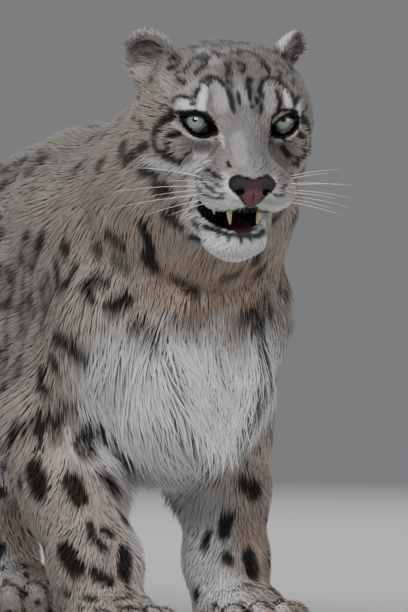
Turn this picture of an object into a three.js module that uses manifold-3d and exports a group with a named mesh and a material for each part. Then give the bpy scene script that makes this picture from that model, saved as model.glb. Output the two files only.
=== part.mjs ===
// A snow leopard at life size, standing low on four broad paws. Its head is raised and turned a little to its
// right, its mouth is open, and its long thick tail hangs in a curve clear of the floor.
// Millimetres, +Z up. The animal faces -Y, so its left side is +X. The origin is on the floor, under the middle
// of its outline. All outlines are those of the coat, out to the tips of the fur.
import * as THREE from 'three';
import { mergeVertices } from 'three/addons/utils/BufferGeometryUtils.js';
import Module from 'manifold-3d';

const wasm = await Module();
wasm.setup();

// Driving dimensions. Lengths along the body are counted from the line under the shoulders, where y is 0.
const GAP = 0.3; // left between neighbouring pieces
const LEFT = 1;
const RIGHT = -1;
const FLOOR = 0;

// The trunk, from the front of the chest to the rump: [y, height of the back, height of the belly, half width]
const TRUNK = [
  [-106, 330, 268, 34],
  [-92, 372, 216, 64],
  [-58, 428, 172, 86],
  [0, 474, 148, 100],
  [90, 502, 146, 112],
  [190, 500, 154, 120],
  [270, 479, 162, 125],
  [350, 457, 172, 126],
  [460, 452, 188, 118],
  [560, 462, 210, 108],
  [650, 460, 240, 100],
  [708, 434, 286, 80],
  [740, 398, 334, 44],
];
const TRUNK_SQUARENESS = 2.3;

// The neck, from inside the shoulders to the back of the head: [x, y, z, radius]
const NECK = [
  [0, 60, 390, 106],
  [-3, -40, 422, 90],
  [-12, -104, 456, 76],
  [-22, -146, 482, 70],
];

// The head stands in a frame of its own, which is turned and nodded as a whole.
const HEAD_PLACE = [-23, -165, 498];
const HEAD_TURN = -16; // degrees about the upright, to its own right
const HEAD_NOD = 15; // degrees, nose down
const EYE_CENTRE = [37.5, -46, 11];
const EYE_RADIUS = 16;
const LID_THICKNESS = 4.2;
const JAW_SWING = -4; // the lower jaw hangs a little to its right
const NOSE_CENTRE = [0, -114, -35];
const CANINE_LENGTH = 21;
const CANINE_RADIUS = 4.6;
// Each ear's place, then degrees that it leans outward and turns outward. The left one is turned to the side.
const EARS = {
  ear_left: { side: LEFT, place: [56, 36, 48], lean: 26, turn: 62 },
  ear_right: { side: RIGHT, place: [66, 34, 46], lean: 24, turn: 28 },
};
const EAR_SIZE = [24, 12, 34]; // half width, half thickness, height above its place

// The tail, from the rump to its tip: [x, y, z, radius]
const TAIL = [
  [0, 716, 414, 52],
  [0, 792, 356, 54],
  [5, 860, 280, 57],
  [14, 930, 208, 58],
  [26, 1014, 156, 58],
  [36, 1106, 134, 57],
  [42, 1196, 146, 55],
  [42, 1270, 190, 52],
  [38, 1322, 250, 44],
];

// Each leg, on its own side of the body: joints from the top down as [x, y, z, radius], and where its paw stands.
const LEGS = {
  foreleg_right: {
    side: RIGHT,
    top: [[46, 92, 440, 48], [66, -14, 330, 52], [84, 76, 226, 52]],
    shank: [[84, 76, 226, 50], [82, 42, 150, 45], [76, 2, 84, 41], [76, -10, 52, 40]],
    paw: [76, -18],
  },
  foreleg_left: {
    side: LEFT,
    top: [[46, 92, 440, 48], [66, -10, 330, 52], [88, 62, 226, 50]],
    shank: [[88, 62, 226, 47], [89, 54, 150, 42], [86, 42, 84, 38], [86, 34, 52, 38]],
    paw: [86, 24],
  },
  hindleg_right: {
    side: RIGHT,
    top: [[52, 650, 380, 82], [66, 606, 350, 86], [92, 522, 268, 62]],
    shank: [[92, 522, 268, 60], [90, 606, 206, 50], [84, 690, 150, 40], [84, 676, 86, 35], [84, 656, 50, 36]],
    paw: [84, 648],
  },
  hindleg_left: {
    side: LEFT,
    top: [[52, 640, 380, 82], [68, 566, 340, 86], [94, 434, 262, 62]],
    shank: [[94, 434, 262, 60], [92, 500, 188, 50], [86, 562, 126, 40], [86, 538, 78, 35], [86, 516, 50, 36]],
    paw: [86, 508],
  },
};

// A paw, as [x, y, z, three radii] from the foot of its leg: the pad and heel, then four toes.
const PAW = [
  [0, -14, 32, 44, 50, 36],
  [-32, -58, 25, 16, 25, 22],
  [-11, -72, 26, 15, 25, 24],
  [12, -72, 26, 15, 25, 24],
  [33, -56, 25, 16, 25, 22],
];

// The long coat. Its core stands this far inside the outline, and locks reach from the core out to the outline.
const CHEST_DEPTH = 24;
const BELLY_DEPTH = 16;
const TAIL_DEPTH = 15;
const CHEST_LOCK = { length: 88, width: 40, thickness: 11 };
const BELLY_LOCK = { length: 74, width: 42, thickness: 10 };
const TAIL_LOCK = { length: 84, width: 44, thickness: 10 };
const CHEEK_LOCK = { length: 46, width: 24, thickness: 8 };
const BREECHES_LOCK = { length: 66, width: 40, thickness: 10 };

const COLOURS = {
  coat: 0x9d948a,
  underside: 0xc9c8c8,
  muzzle: 0xb4aea8,
  eye: 0x8d9a93,
  nose: 0x7c4a4a,
  tooth: 0xc9a35f,
  tongue: 0x6e3a3c,
};

// Smooth curves through rows of numbers

// Rows of [place, value, ...], in rising order of place, become a smooth function from a place to its values.
function through(rows) {
  const slope = (i, k) => {
    const a = rows[Math.max(i - 1, 0)];
    const b = rows[Math.min(i + 1, rows.length - 1)];
    return (b[k] - a[k]) / (b[0] - a[0]);
  };
  return (place) => {
    const at = THREE.MathUtils.clamp(place, rows[0][0], rows[rows.length - 1][0]);
    let i = 0;
    while (i < rows.length - 2 && at > rows[i + 1][0]) i++;
    const step = rows[i + 1][0] - rows[i][0];
    const t = (at - rows[i][0]) / step;
    return rows[i].slice(1).map((value, n) => {
      const k = n + 1;
      return (2 * t ** 3 - 3 * t ** 2 + 1) * value + (t ** 3 - 2 * t ** 2 + t) * step * slope(i, k) +
        (3 * t ** 2 - 2 * t ** 3) * rows[i + 1][k] + (t ** 3 - t ** 2) * step * slope(i + 1, k);
    });
  };
}

const point = ([x, y, z]) => new THREE.Vector3(x, y, z);
const mirrored = (side, [x, ...rest]) => [side * x, ...rest];

// Soft solids. Each is a function of a point that is about its distance from the surface, and negative inside.

function egg(x, y, z, rx, ry, rz) {
  return (p) => {
    const [dx, dy, dz] = [(p.x - x) / rx, (p.y - y) / ry, (p.z - z) / rz];
    const near = Math.hypot(dx, dy, dz);
    const slope = Math.hypot(dx / rx, dy / ry, dz / rz);
    return slope > 1e-9 ? near * (near - 1) / slope : -Math.min(rx, ry, rz);
  };
}

// A bone with flesh on it: a rounded cone from one joint to the next.
function bone(from, to) {
  const start = point(from);
  const along = point(to).sub(start);
  return (p) => {
    const offset = p.clone().sub(start);
    const t = THREE.MathUtils.clamp(offset.dot(along) / along.lengthSq(), 0, 1);
    return offset.addScaledVector(along, -t).length() - THREE.MathUtils.lerp(from[3], to[3], t);
  };
}

function blend(softness, fields) {
  return (p) => fields.map((field) => field(p)).reduce((a, b) => {
    const overlap = Math.max(softness - Math.abs(a - b), 0) / softness;
    return Math.min(a, b) - overlap * overlap * softness / 4;
  });
}

const chain = (softness, joints) =>
  blend(softness, joints.slice(1).map((joint, i) => bone(joints[i], joint)));

// The barrel of the trunk, from its outline in TRUNK.
function barrel() {
  const outline = through(TRUNK);
  const [front, back] = [TRUNK[0][0], TRUNK[TRUNK.length - 1][0]];
  return (p) => {
    const [top, bottom, half] = outline(p.y);
    const tall = (top - bottom) / 2;
    const across = Math.abs(p.x) / half;
    const up = Math.abs(p.z - (top + bottom) / 2) / tall;
    const near = (across ** TRUNK_SQUARENESS + up ** TRUNK_SQUARENESS) ** (1 / TRUNK_SQUARENESS);
    return Math.max((near - 1) * Math.min(tall, half), front - p.y, p.y - back);
  };
}

// Closed surfaces wrapped round a field

// How far it is from a point inside a field to its surface, in one direction.
function reach(field, from, direction) {
  const [stride, most, halvings] = [5, 420, 8];
  const at = (distance) => from.clone().addScaledVector(direction, distance);
  let far = 0;
  while (far < most && field(at(far)) < 0) far += stride;
  let near = Math.max(far - stride, 0);
  for (let i = 0; i < halvings; i++) {
    const middle = (near + far) / 2;
    if (field(at(middle)) < 0) near = middle;
    else far = middle;
  }
  return near;
}

// A closed mesh on a field's surface, found by looking outward from an axis inside it: rings along the axis, then
// rings that close in on a point at each end.
function wrap(field, axisPoints, { rings, sides, caps = 4, grow = 0 }) {
  const axis = new THREE.CatmullRomCurve3(axisPoints.map(point), false, 'catmullrom', 0.5);
  const quarter = (i) => (Math.PI / 2) * (i / (caps + 1));
  const starts = Array.from({ length: caps }, (_, i) => [0, quarter(i - caps)]);
  const along = Array.from({ length: rings }, (_, i) => [i / (rings - 1), 0]);
  const ends = Array.from({ length: caps }, (_, i) => [1, quarter(i + 1)]);
  const stations = [...starts, ...along, ...ends];
  const vertices = [];
  const faces = [];
  const put = (centre, direction) => {
    vertices.push(centre.clone().addScaledVector(direction, Math.max(reach(field, centre, direction), 1) + grow));
  };
  put(axis.getPoint(0), axis.getTangent(0).negate());
  for (const [t, tilt] of stations) {
    const centre = axis.getPoint(t);
    const tangent = axis.getTangent(t);
    const up = new THREE.Vector3(1, 0, 0).cross(tangent).normalize();
    const across = tangent.clone().cross(up).normalize();
    for (let j = 0; j < sides; j++) {
      const angle = 2 * Math.PI * j / sides;
      const radial = up.clone().multiplyScalar(Math.cos(angle)).addScaledVector(across, Math.sin(angle));
      put(centre, radial.multiplyScalar(Math.cos(tilt)).addScaledVector(tangent, Math.sin(tilt)));
    }
  }
  put(axis.getPoint(1), axis.getTangent(1));
  const last = vertices.length - 1;
  const ring = (i, j) => 1 + i * sides + j % sides;
  for (let j = 0; j < sides; j++) {
    faces.push(0, ring(0, j), ring(0, j + 1));
    faces.push(last, ring(stations.length - 1, j + 1), ring(stations.length - 1, j));
    for (let i = 0; i < stations.length - 1; i++) {
      faces.push(ring(i, j), ring(i + 1, j), ring(i + 1, j + 1));
      faces.push(ring(i, j), ring(i + 1, j + 1), ring(i, j + 1));
    }
  }
  return new THREE.BufferGeometry().setFromPoints(vertices).setIndex(faces);
}

// Joins and cuts

function solid(geometry, place = new THREE.Matrix4()) {
  const bare = geometry.clone();
  bare.deleteAttribute('normal');
  bare.deleteAttribute('uv');
  const merged = mergeVertices(bare.applyMatrix4(place), 1e-4);
  const make = (triVerts) =>
    new wasm.Manifold(new wasm.Mesh({ numProp: 3, vertProperties: merged.attributes.position.array, triVerts }));
  const made = make(new Uint32Array(merged.index.array));
  return made.volume() > 0 ? made : make(new Uint32Array(merged.index.array).reverse());
}

// What is left when a cut leaves scraps: the largest closed body.
const largest = (made) => made.decompose().reduce((a, b) => (a.volume() > b.volume() ? a : b));

// Cuts leave slivers finer than any real detail, which are dropped as the surface is read.
const FINEST = 0.03;

function surfaceOf(made) {
  const mesh = made.simplify(FINEST).getMesh();
  return new THREE.BufferGeometry()
    .setAttribute('position', new THREE.BufferAttribute(new Float32Array(mesh.vertProperties), 3))
    .setIndex(new THREE.BufferAttribute(new Uint32Array(mesh.triVerts), 1));
}

// A block between two corners, in the body's frame or in that of place.
function block(low, high, place, grow = 0) {
  const size = point(high).sub(point(low)).addScalar(2 * grow);
  const middle = point(high).add(point(low)).multiplyScalar(0.5);
  return solid(new THREE.BoxGeometry(size.x, size.y, size.z).translate(middle.x, middle.y, middle.z), place);
}

const turned = (degrees, axis) =>
  new THREE.Matrix4().makeRotationAxis(point(axis), THREE.MathUtils.degToRad(degrees));

// The trunk, with the shoulders and haunches that swell it

function legTops() {
  return Object.values(LEGS).map(({ side, top }) => chain(20, top.map((joint) => mirrored(side, joint))));
}

// How far the core of the trunk stands inside its outline: most on the chest and under the belly.
function trunkDepth(p) {
  const { smoothstep } = THREE.MathUtils;
  const inward = 1 - smoothstep(Math.abs(p.x), 66, 98);
  const front = smoothstep(-p.y, -50, 40) * smoothstep(-p.z, -470, -430);
  const under = smoothstep(-p.z, -290, -215);
  return inward * Math.max(CHEST_DEPTH * front, BELLY_DEPTH * under);
}

const trunkOutline = blend(42, [barrel(), ...legTops()]);
const trunkCore = (p) => trunkOutline(p) + trunkDepth(p);

function trunk() {
  const axis = [[0, -30, 312], [0, 190, 330], [0, 430, 326], [0, 664, 356]];
  return solid(wrap(trunkCore, axis, { rings: 13, sides: 24, caps: 3 }));
}

function neck() {
  return solid(wrap(chain(60, NECK), NECK, { rings: 6, sides: 20, caps: 1 }));
}

// The head

const headPlace = new THREE.Matrix4()
  .makeTranslation(...HEAD_PLACE)
  .multiply(turned(HEAD_TURN, [0, 0, 1]))
  .multiply(turned(HEAD_NOD, [1, 0, 0]));

const both = (make) => [LEFT, RIGHT].map(make);

function skullField() {
  const mass = blend(20, [
    egg(0, 12, 14, 79, 80, 62), // crown
    egg(0, -26, 28, 48, 42, 42), // forehead
    ...both((s) => egg(s * 40, 16, -16, 41, 50, 44)), // ruff of the cheeks
    ...both((s) => egg(s * 22, 8, -54, 30, 44, 28)), // jowls
    ...both((s) => egg(s * 43, -28, -14, 25, 24, 25)), // cheekbones
    ...both((s) => egg(s * 36, -52, 29, 22, 13, 9)), // brows
    bone([0, -36, 20, 26], [0, -104, -18, 17]), // bridge of the nose
    egg(0, -82, -36, 39, 34, 23), // muzzle
    ...both((s) => egg(s * 20, -96, -42, 24, 22, 17)), // pads of the whiskers
  ]);
  const sockets = both((s) => egg(s * 40, -64, 8, 17, 13, 9));
  return (p) => Math.max(mass(p), ...sockets.map((socket) => -socket(p)));
}

function skull() {
  const axis = [[0, 40, 2], [0, 0, 0], [0, -40, -10], [0, -84, -34]];
  return solid(wrap(skullField(), axis, { rings: 11, sides: 32, caps: 5 }), headPlace);
}

function jaw() {
  const field = blend(12, [
    bone([0, 0, -80, 34], [JAW_SWING, -70, -96, 16]),
    egg(JAW_SWING, -74, -93, 30, 20, 17),
    ...both((s) => egg(s * 20 + JAW_SWING, -34, -84, 15, 36, 17)),
  ]);
  return solid(wrap(field, [[0, 0, -82], [JAW_SWING, -74, -96]], { rings: 4, sides: 14, caps: 3 }), headPlace);
}

function mouthHollow() {
  const field = blend(8, [egg(JAW_SWING / 2, -58, -69, 33, 48, 12), egg(JAW_SWING / 2, -104, -68, 30, 30, 13)]);
  return solid(wrap(field, [[0, -30, -69], [0, -108, -68]], { rings: 4, sides: 12, caps: 2 }), headPlace);
}

// The two lids of an eye are rolls of skin that lie on the ball and meet at its corners, the outer one higher.
function lids(side) {
  const centre = point(mirrored(side, EYE_CENTRE));
  const facing = new THREE.Vector3(side * 0.22, -0.97, 0.04).normalize();
  const out = new THREE.Vector3(-facing.y, facing.x, 0).normalize().multiplyScalar(side);
  const up = facing.clone().cross(out).multiplyScalar(side).normalize();
  const steps = [-1, -0.6, 0, 0.6, 1];
  return [7, -9.5].map((height) => {
    const joints = steps.map((s, i) => {
      const [sideways, rise] = [17 * s, height * (1 - s * s) + 5 * s];
      const forward = Math.sqrt(Math.max((EYE_RADIUS + 1.5) ** 2 - sideways ** 2 - rise ** 2, 9));
      const p = centre.clone().addScaledVector(out, sideways).addScaledVector(up, rise);
      return [...p.addScaledVector(facing, forward), LID_THICKNESS * (1 - 0.3 * Math.abs(steps[i]))];
    });
    return solid(wrap(chain(2, joints), joints, { rings: 5, sides: 7, caps: 1 }), headPlace);
  });
}

const ball = (centre, radius, across = 14, down = 9) =>
  new THREE.SphereGeometry(radius, across, down).translate(...centre);

const eyeBall = (side, grow = 0) => ball(mirrored(side, EYE_CENTRE), EYE_RADIUS + grow);

// The nose leather is a blunt triangle with a comma-shaped nostril at each side.
function noseLeather(grow = 0) {
  const [x, y, z] = NOSE_CENTRE;
  const field = blend(7, [
    ...both((s) => egg(x + s * 11, y - 1, z + 5, 10, 9, 8)),
    egg(x, y - 2, z, 13, 9, 9),
    egg(x, y - 3, z - 7, 7, 7, 9),
  ]);
  return wrap(field, [[x, y + 3, z - 1], [x, y - 4, z - 2]], { rings: 2, sides: 14, caps: 2, grow });
}

const nostril = (side) => ball([0, 0, 0], 1, 10, 6).scale(4.6, 7, 3.4)
  .applyMatrix4(turned(-32 * side, [0, 1, 0])).translate(side * 12.5, NOSE_CENTRE[1] - 8, NOSE_CENTRE[2] - 1);

// A tooth curves back a little and comes to a blunt point.
function tooth(length, radius) {
  const profile = [[0, 0], [radius, 0], [radius * 0.98, -length * 0.35], [radius * 0.66, -length * 0.72],
    [radius * 0.26, -length * 0.96], [0, -length]];
  return new THREE.LatheGeometry(profile.map(([r, z]) => new THREE.Vector2(r, z)), 8).rotateX(Math.PI / 2);
}

const TEETH = {
  canine_left: { at: [16, -90, -50], size: [CANINE_LENGTH, CANINE_RADIUS], splay: 4 },
  canine_right: { at: [-16, -90, -50], size: [CANINE_LENGTH, CANINE_RADIUS], splay: -4 },
  premolar_left: { at: [25, -70, -50], size: [15, 4], splay: 2 },
  premolar_right: { at: [-25, -70, -50], size: [15, 4], splay: -2 },
};

const toothAt = ({ at, size, splay }, grow = 0) =>
  tooth(size[0] + grow, size[1] + grow).rotateY(THREE.MathUtils.degToRad(splay)).translate(...at);

function tongueShape(grow = 0) {
  const field = blend(6, [egg(0, -50, -86, 18, 36, 7), egg(0, -74, -85, 15, 15, 5)]);
  return wrap(field, [[0, -34, -86], [0, -76, -86]], { rings: 3, sides: 12, caps: 2, grow });
}

// An ear is a rounded cup that opens forward and outward.
const earPlace = ({ side, place, lean, turn }) => headPlace.clone()
  .multiply(new THREE.Matrix4().makeTranslation(...mirrored(side, place)))
  .multiply(turned(side * lean, [0, 1, 0]))
  .multiply(turned(side * turn, [0, 0, 1]));

function ear(set) {
  const [half, thick, tall] = EAR_SIZE;
  const shell = blend(8, [egg(0, 0, tall - 27, half, thick, 27), egg(0, 3, -10, half * 0.86, thick * 1.4, 20)]);
  const outside = solid(wrap(shell, [[0, 0, -12], [0, 0, tall - 24]], { rings: 3, sides: 14, caps: 3 }), earPlace(set));
  const cup = ball([0, 0, 0], 1, 12, 8).scale(half - 6, thick * 0.95, 20).translate(0, -thick * 0.8, tall - 26);
  return outside.subtract(solid(cup, earPlace(set)));
}

// Legs, paws and tail

// The flesh round each bone is a rounded length of its own, and the lengths are joined.
function shank({ side, shank: joints }) {
  const placed = joints.map((joint) => mirrored(side, joint));
  return placed.slice(1).map((joint, i) => {
    const ends = [placed[i], joint];
    return solid(wrap(bone(...ends), ends, { rings: 2, sides: 10, caps: 2 }));
  });
}

function paw({ side, paw: [x, y] }) {
  const field = blend(7, PAW.map((part) => egg(...part)));
  const made = wrap(field, [[0, 0, 30], [0, -60, 26]], { rings: 4, sides: 16, caps: 2 });
  return solid(made.translate(side * x, y, 0));
}

const tailCore = TAIL.map(([x, y, z, radius]) => [x, y, z, radius - TAIL_DEPTH]);

function tail() {
  return solid(wrap(chain(40, tailCore), tailCore, { rings: 16, sides: 10, caps: 2 }));
}

// Locks of the long coat

// Numbers between -1 and 1 that look random and are the same each time.
function seeded(seed) {
  let state = seed;
  return () => {
    state = (state * 48271) % 2147483647;
    return 2 * state / 2147483647 - 1;
  };
}
const chance = seeded(1861);

// A lock is a flat, tapered strip. It starts sunk in the core, rises through the coat and lies along it to its tip.
function lock({ root, outward, lie, rise, drop = 0 }, { length, width, thickness }) {
  const along = lie.clone().addScaledVector(outward, -lie.dot(outward)).normalize();
  const across = along.clone().cross(outward).normalize();
  const long = length * (1 + 0.15 * chance());
  const sway = 0.18 * long * chance();
  const stations = [[-0.12, 0.7, -thickness * 1.5], [0.3, 1, rise * 0.45], [0.72, 0.68, rise * 0.9]];
  const at = (t, height) => root.clone().addScaledVector(along, long * t).addScaledVector(outward, height)
    .addScaledVector(across, sway * t * t).add(new THREE.Vector3(0, 0, -drop * t * t));
  const vertices = stations.flatMap(([t, share, height]) => {
    const middle = at(t, height);
    return [[1, 0], [0, 1], [-1, 0], [0, -1]].map(([u, v]) => middle.clone()
      .addScaledVector(across, u * share * width / 2).addScaledVector(outward, v * share * thickness / 2));
  });
  vertices.push(at(1, rise));
  const faces = [0, 2, 1, 0, 3, 2];
  for (let j = 0; j < 4; j++) {
    const next = (j + 1) % 4;
    for (const ring of [0, 4]) faces.push(ring + j, ring + next, ring + 4 + next, ring + j, ring + 4 + next, ring + 4 + j);
    faces.push(8 + j, 8 + next, 12);
  }
  return solid(new THREE.BufferGeometry().setFromPoints(vertices).setIndex(faces));
}

// Where a lock grows: what a look outward from a point inside the core meets.
function rootOn(core, from, outward) {
  return from.clone().addScaledVector(outward, reach(core, from, outward));
}

const degrees = THREE.MathUtils.degToRad;

// The bib of the chest hangs from the throat and turns in under it.
function chestLocks() {
  const rows = [[408, 4], [366, 5], [322, 6], [278, 5], [234, 4]];
  return rows.flatMap(([z, count]) => Array.from({ length: count }, (_, i) => {
    const angle = degrees(132 * ((i + 0.5) / count - 0.5) + 4 * chance());
    const outward = new THREE.Vector3(Math.sin(angle), -Math.cos(angle), 0);
    const root = rootOn(trunkCore, new THREE.Vector3(0, 6, z + 6 * chance()), outward);
    const lie = new THREE.Vector3(0.3 * Math.sin(angle), z < 260 ? 0.45 : 0, -1);
    return lock({ root, outward, lie, rise: CHEST_DEPTH - 4 }, CHEST_LOCK);
  }));
}

// The fringe of the belly hangs and lies back.
function bellyLocks() {
  const stops = Array.from({ length: 7 }, (_, i) => 30 + 68 * i);
  return stops.flatMap((y, row) => [-1, 1].map((half) => {
    const angle = degrees(half * (row % 2 ? 44 : 16) + 5 * chance());
    const outward = new THREE.Vector3(Math.sin(angle), 0, -Math.cos(angle));
    const root = rootOn(trunkCore, new THREE.Vector3(0, y, 300), outward);
    return lock({ root, outward, lie: new THREE.Vector3(0, 1, -0.4), rise: BELLY_DEPTH - 2 }, BELLY_LOCK);
  }));
}

// The tail is clothed on all sides, each ring of locks filling the gaps of the one before it.
function tailLocks() {
  const axis = new THREE.CatmullRomCurve3(tailCore.map(point), false, 'catmullrom', 0.5);
  const core = chain(40, tailCore);
  return Array.from({ length: 9 }, (_, row) => row).flatMap((row) => [0, 1, 2, 3].map((j) => {
    const t = 0.1 + 0.095 * row;
    const centre = axis.getPoint(t);
    const tangent = axis.getTangent(t);
    const side = new THREE.Vector3(1, 0, 0).cross(tangent).normalize();
    const outward = side.applyAxisAngle(tangent, degrees(90 * j + 45 * (row % 2) + 10 * chance()));
    return lock({ root: rootOn(core, centre, outward), outward, lie: tangent, rise: TAIL_DEPTH - 2 }, TAIL_LOCK);
  }));
}

// The ruff of each cheek hangs back and down behind the jaw.
function cheekLocks(side) {
  return [-62, -41, -20].map((slope) => {
    const outward = new THREE.Vector3(side * Math.cos(degrees(slope)), 0.25, Math.sin(degrees(slope))).normalize();
    const root = rootOn(skullField(), new THREE.Vector3(0, 6, -14), outward);
    return lock({ root, outward, lie: new THREE.Vector3(side * 0.2, 0.62, -0.75), rise: 5 }, CHEEK_LOCK)
      .transform(headPlace.elements);
  });
}

// The breeches hang behind the thighs.
function breechesLocks({ side, top }) {
  const field = chain(20, top.map((joint) => mirrored(side, joint)));
  return [0.25, 0.55, 0.85].map((share) => {
    const from = point(mirrored(side, top[0])).lerp(point(mirrored(side, top[1])), share);
    const outward = new THREE.Vector3(side * 0.35, 0.9, -0.35 - 0.5 * share).normalize();
    const root = rootOn(field, from, outward);
    return lock({ root, outward, lie: new THREE.Vector3(0, 0.15, -1), rise: 7 }, BREECHES_LOCK);
  });
}

// The whole animal, before it is parted

const headCuts = [
  ...both((s) => solid(eyeBall(s, GAP), headPlace)),
  solid(noseLeather(GAP), headPlace),
  mouthHollow(),
  ...Object.values(TEETH).map((t) => solid(toothAt(t, GAP), headPlace)),
  solid(tongueShape(GAP), headPlace),
];

const everyLeg = Object.values(LEGS);
const whole = wasm.Manifold.union([
  trunk(), neck(), skull(), jaw(), tail(), ...Object.values(EARS).map(ear), ...both(lids).flat(),
  ...everyLeg.flatMap(shank), ...everyLeg.map(paw),
  ...chestLocks(), ...bellyLocks(), ...tailLocks(), ...both(cheekLocks).flat(),
  ...[LEGS.hindleg_left, LEGS.hindleg_right].flatMap(breechesLocks),
]).subtract(block([-600, -900, -200], [600, 1900, FLOOR])).subtract(wasm.Manifold.union(headCuts));

// Where the animal is parted: each node is what its block takes from the rest, in this order.

const WRIST = 64; // height of the cut above each paw
const HEAD_CUT_LEAN = -12; // degrees that the cut behind the head leans
const NECK_CUT_LEAN = -34; // degrees that the cut in front of the shoulders leans
const plane = (at, lean) => new THREE.Matrix4().makeTranslation(...at).multiply(turned(lean, [1, 0, 0]));

// Near the trunk a leg is cut along upright planes this far from the middle, and below it near the middle itself.
const MIDDLE = 4;
const LEG_CUTS = {
  fore: { inner: 42, outer: 76, clear: 140, drop: 14, top: 420, reach: [-90, 150] },
  hind: { inner: 36, outer: 60, clear: 180, drop: 44, top: 430, reach: [-70, 735] },
};

function legBlocks() {
  return Object.entries(LEGS).flatMap(([name, { side, shank: joints, paw: [, pawY] }]) => {
    const kind = name.slice(0, 4);
    const { inner, outer, clear, drop, top, reach: [ahead, behind] } = LEG_CUTS[kind];
    const span = (near, a, b, low, high) => [[Math.min(side * near, side * 190), a, low],
      [Math.max(side * near, side * 190), b, high]];
    const ys = joints.map((joint) => joint[1]);
    const [front, back] = [Math.min(...ys, pawY - 120) - 30, Math.max(...ys) + 62];
    const joint = joints[0][2] - drop;
    const start = kind === 'fore' ? ahead : joints[0][1] + ahead;
    return [
      [name.replace('leg', 'paw'), [span(MIDDLE, front, back, FLOOR - 5, WRIST)]],
      [name.replace(`${kind}leg`, kind === 'fore' ? 'forearm' : 'shank'),
        [span(MIDDLE, front, back, WRIST, clear), span(inner, front, back, clear - 1, joint)]],
      [name.replace(`${kind}leg`, kind === 'fore' ? 'shoulder' : 'thigh'), [span(outer, start, behind, joint, top)]],
    ];
  });
}

const BLOCKS = [
  ...Object.entries(EARS).map(([name, set]) => [name, [[[-48, -48, 0], [48, 48, 90]]], earPlace(set)]),
  ['lower_jaw', [[[-42, -150, -160], [42, -24, -74]]], headPlace],
  ['head', [[[-300, -600, -160], [300, 0, 300]]], plane([-18, -112, 470], HEAD_CUT_LEAN)],
  ['neck', [[[-130, -300, -200], [130, 0, 300]]], plane([0, -6, 436], NECK_CUT_LEAN)],
  ...legBlocks(),
  ['tail_tip', [[[-200, 0, -200], [200, 500, 300]]], plane([40, 1160, 140], 6)],
  ['tail_lower', [[[-200, 0, -200], [200, 500, 300]]], plane([20, 985, 170], -26)],
  ['tail_upper', [[[-200, 0, -200], [200, 500, 300]]], plane([8, 865, 275], -46)],
  ['tail_root', [[[-90, 0, -90], [90, 500, 300]]], plane([0, 742, 396], -38)],
];

function parted() {
  const nodes = new Map();
  let rest = whole;
  for (const [name, corners, place] of BLOCKS) {
    const taken = (grow) => wasm.Manifold.union(corners.map(([low, high]) => block(low, high, place, grow)));
    nodes.set(name, largest(rest.intersect(taken(0))));
    rest = rest.subtract(taken(GAP));
  }
  nodes.set('torso', largest(rest));
  return nodes;
}

// Materials and the model

const finish = (color, roughness = 0.85) => new THREE.MeshStandardMaterial({ color, roughness, metalness: 0 });

function named(name, geometry, material) {
  const mesh = new THREE.Mesh(geometry, material);
  mesh.name = name;
  return mesh;
}

const model = new THREE.Group();
for (const [name, made] of parted()) {
  const colour = name === 'lower_jaw' ? COLOURS.underside : COLOURS.coat;
  model.add(named(name, surfaceOf(made), finish(colour)));
}

const head = new THREE.Group();
headPlace.decompose(head.position, head.quaternion, head.scale);
both((s) => head.add(named(s === LEFT ? 'eye_left' : 'eye_right', surfaceOf(solid(eyeBall(s))), finish(COLOURS.eye, 0.1))));
const nose = solid(noseLeather()).subtract(wasm.Manifold.union(both((s) => solid(nostril(s)))));
head.add(named('nose', surfaceOf(largest(nose)), finish(COLOURS.nose, 0.45)));
head.add(named('tongue', surfaceOf(solid(tongueShape())), finish(COLOURS.tongue, 0.4)));
for (const [name, shape] of Object.entries(TEETH)) {
  head.add(named(name, surfaceOf(solid(toothAt(shape))), finish(COLOURS.tooth, 0.3)));
}
model.add(head);

// The origin goes to the floor under the middle of the outline.
const outline = new THREE.Box3().setFromObject(model);
const middle = outline.getCenter(new THREE.Vector3());
model.position.set(-middle.x, -middle.y, 0);

export default model;
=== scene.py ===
# A snow leopard at life size, dressed over its solid model: one skin, a coat of modelled tufts that
# follows the lie of real fur, wet eyes, nose leather, yellowed teeth, tongue and whiskers. It stands on a
# plain pale floor. Sizes of the animal are in millimetres, counted as in the solid model, and turned to
# metres as meshes are made.
import math

import bpy
import numpy as np
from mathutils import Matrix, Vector


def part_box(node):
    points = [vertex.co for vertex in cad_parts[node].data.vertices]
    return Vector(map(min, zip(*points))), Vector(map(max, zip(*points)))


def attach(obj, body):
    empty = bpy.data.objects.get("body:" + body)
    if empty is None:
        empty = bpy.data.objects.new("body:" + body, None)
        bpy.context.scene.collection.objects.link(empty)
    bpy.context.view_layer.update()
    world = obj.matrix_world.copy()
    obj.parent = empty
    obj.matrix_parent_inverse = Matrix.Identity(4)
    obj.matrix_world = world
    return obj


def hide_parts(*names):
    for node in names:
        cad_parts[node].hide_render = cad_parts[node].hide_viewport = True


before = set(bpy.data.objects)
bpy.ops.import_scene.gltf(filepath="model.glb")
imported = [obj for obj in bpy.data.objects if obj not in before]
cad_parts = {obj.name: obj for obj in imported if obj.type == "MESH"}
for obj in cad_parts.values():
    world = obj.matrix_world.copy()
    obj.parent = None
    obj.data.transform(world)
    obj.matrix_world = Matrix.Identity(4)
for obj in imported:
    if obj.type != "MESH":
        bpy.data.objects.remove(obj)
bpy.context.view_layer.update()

# The room: a pale matt floor under soft light. It isn't part of the animal. The light is a broad lamp
# from the front and left, a weaker one from the right, one from behind, and a pale surround.
MM = 0.001


def linear(text):
    """An sRGB hex colour as linear red, green and blue."""
    parts = [int(text[i:i + 2], 16) / 255 for i in (1, 3, 5)]
    return np.array([c / 12.92 if c <= 0.04045 else ((c + 0.055) / 1.055) ** 2.4 for c in parts])


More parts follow.
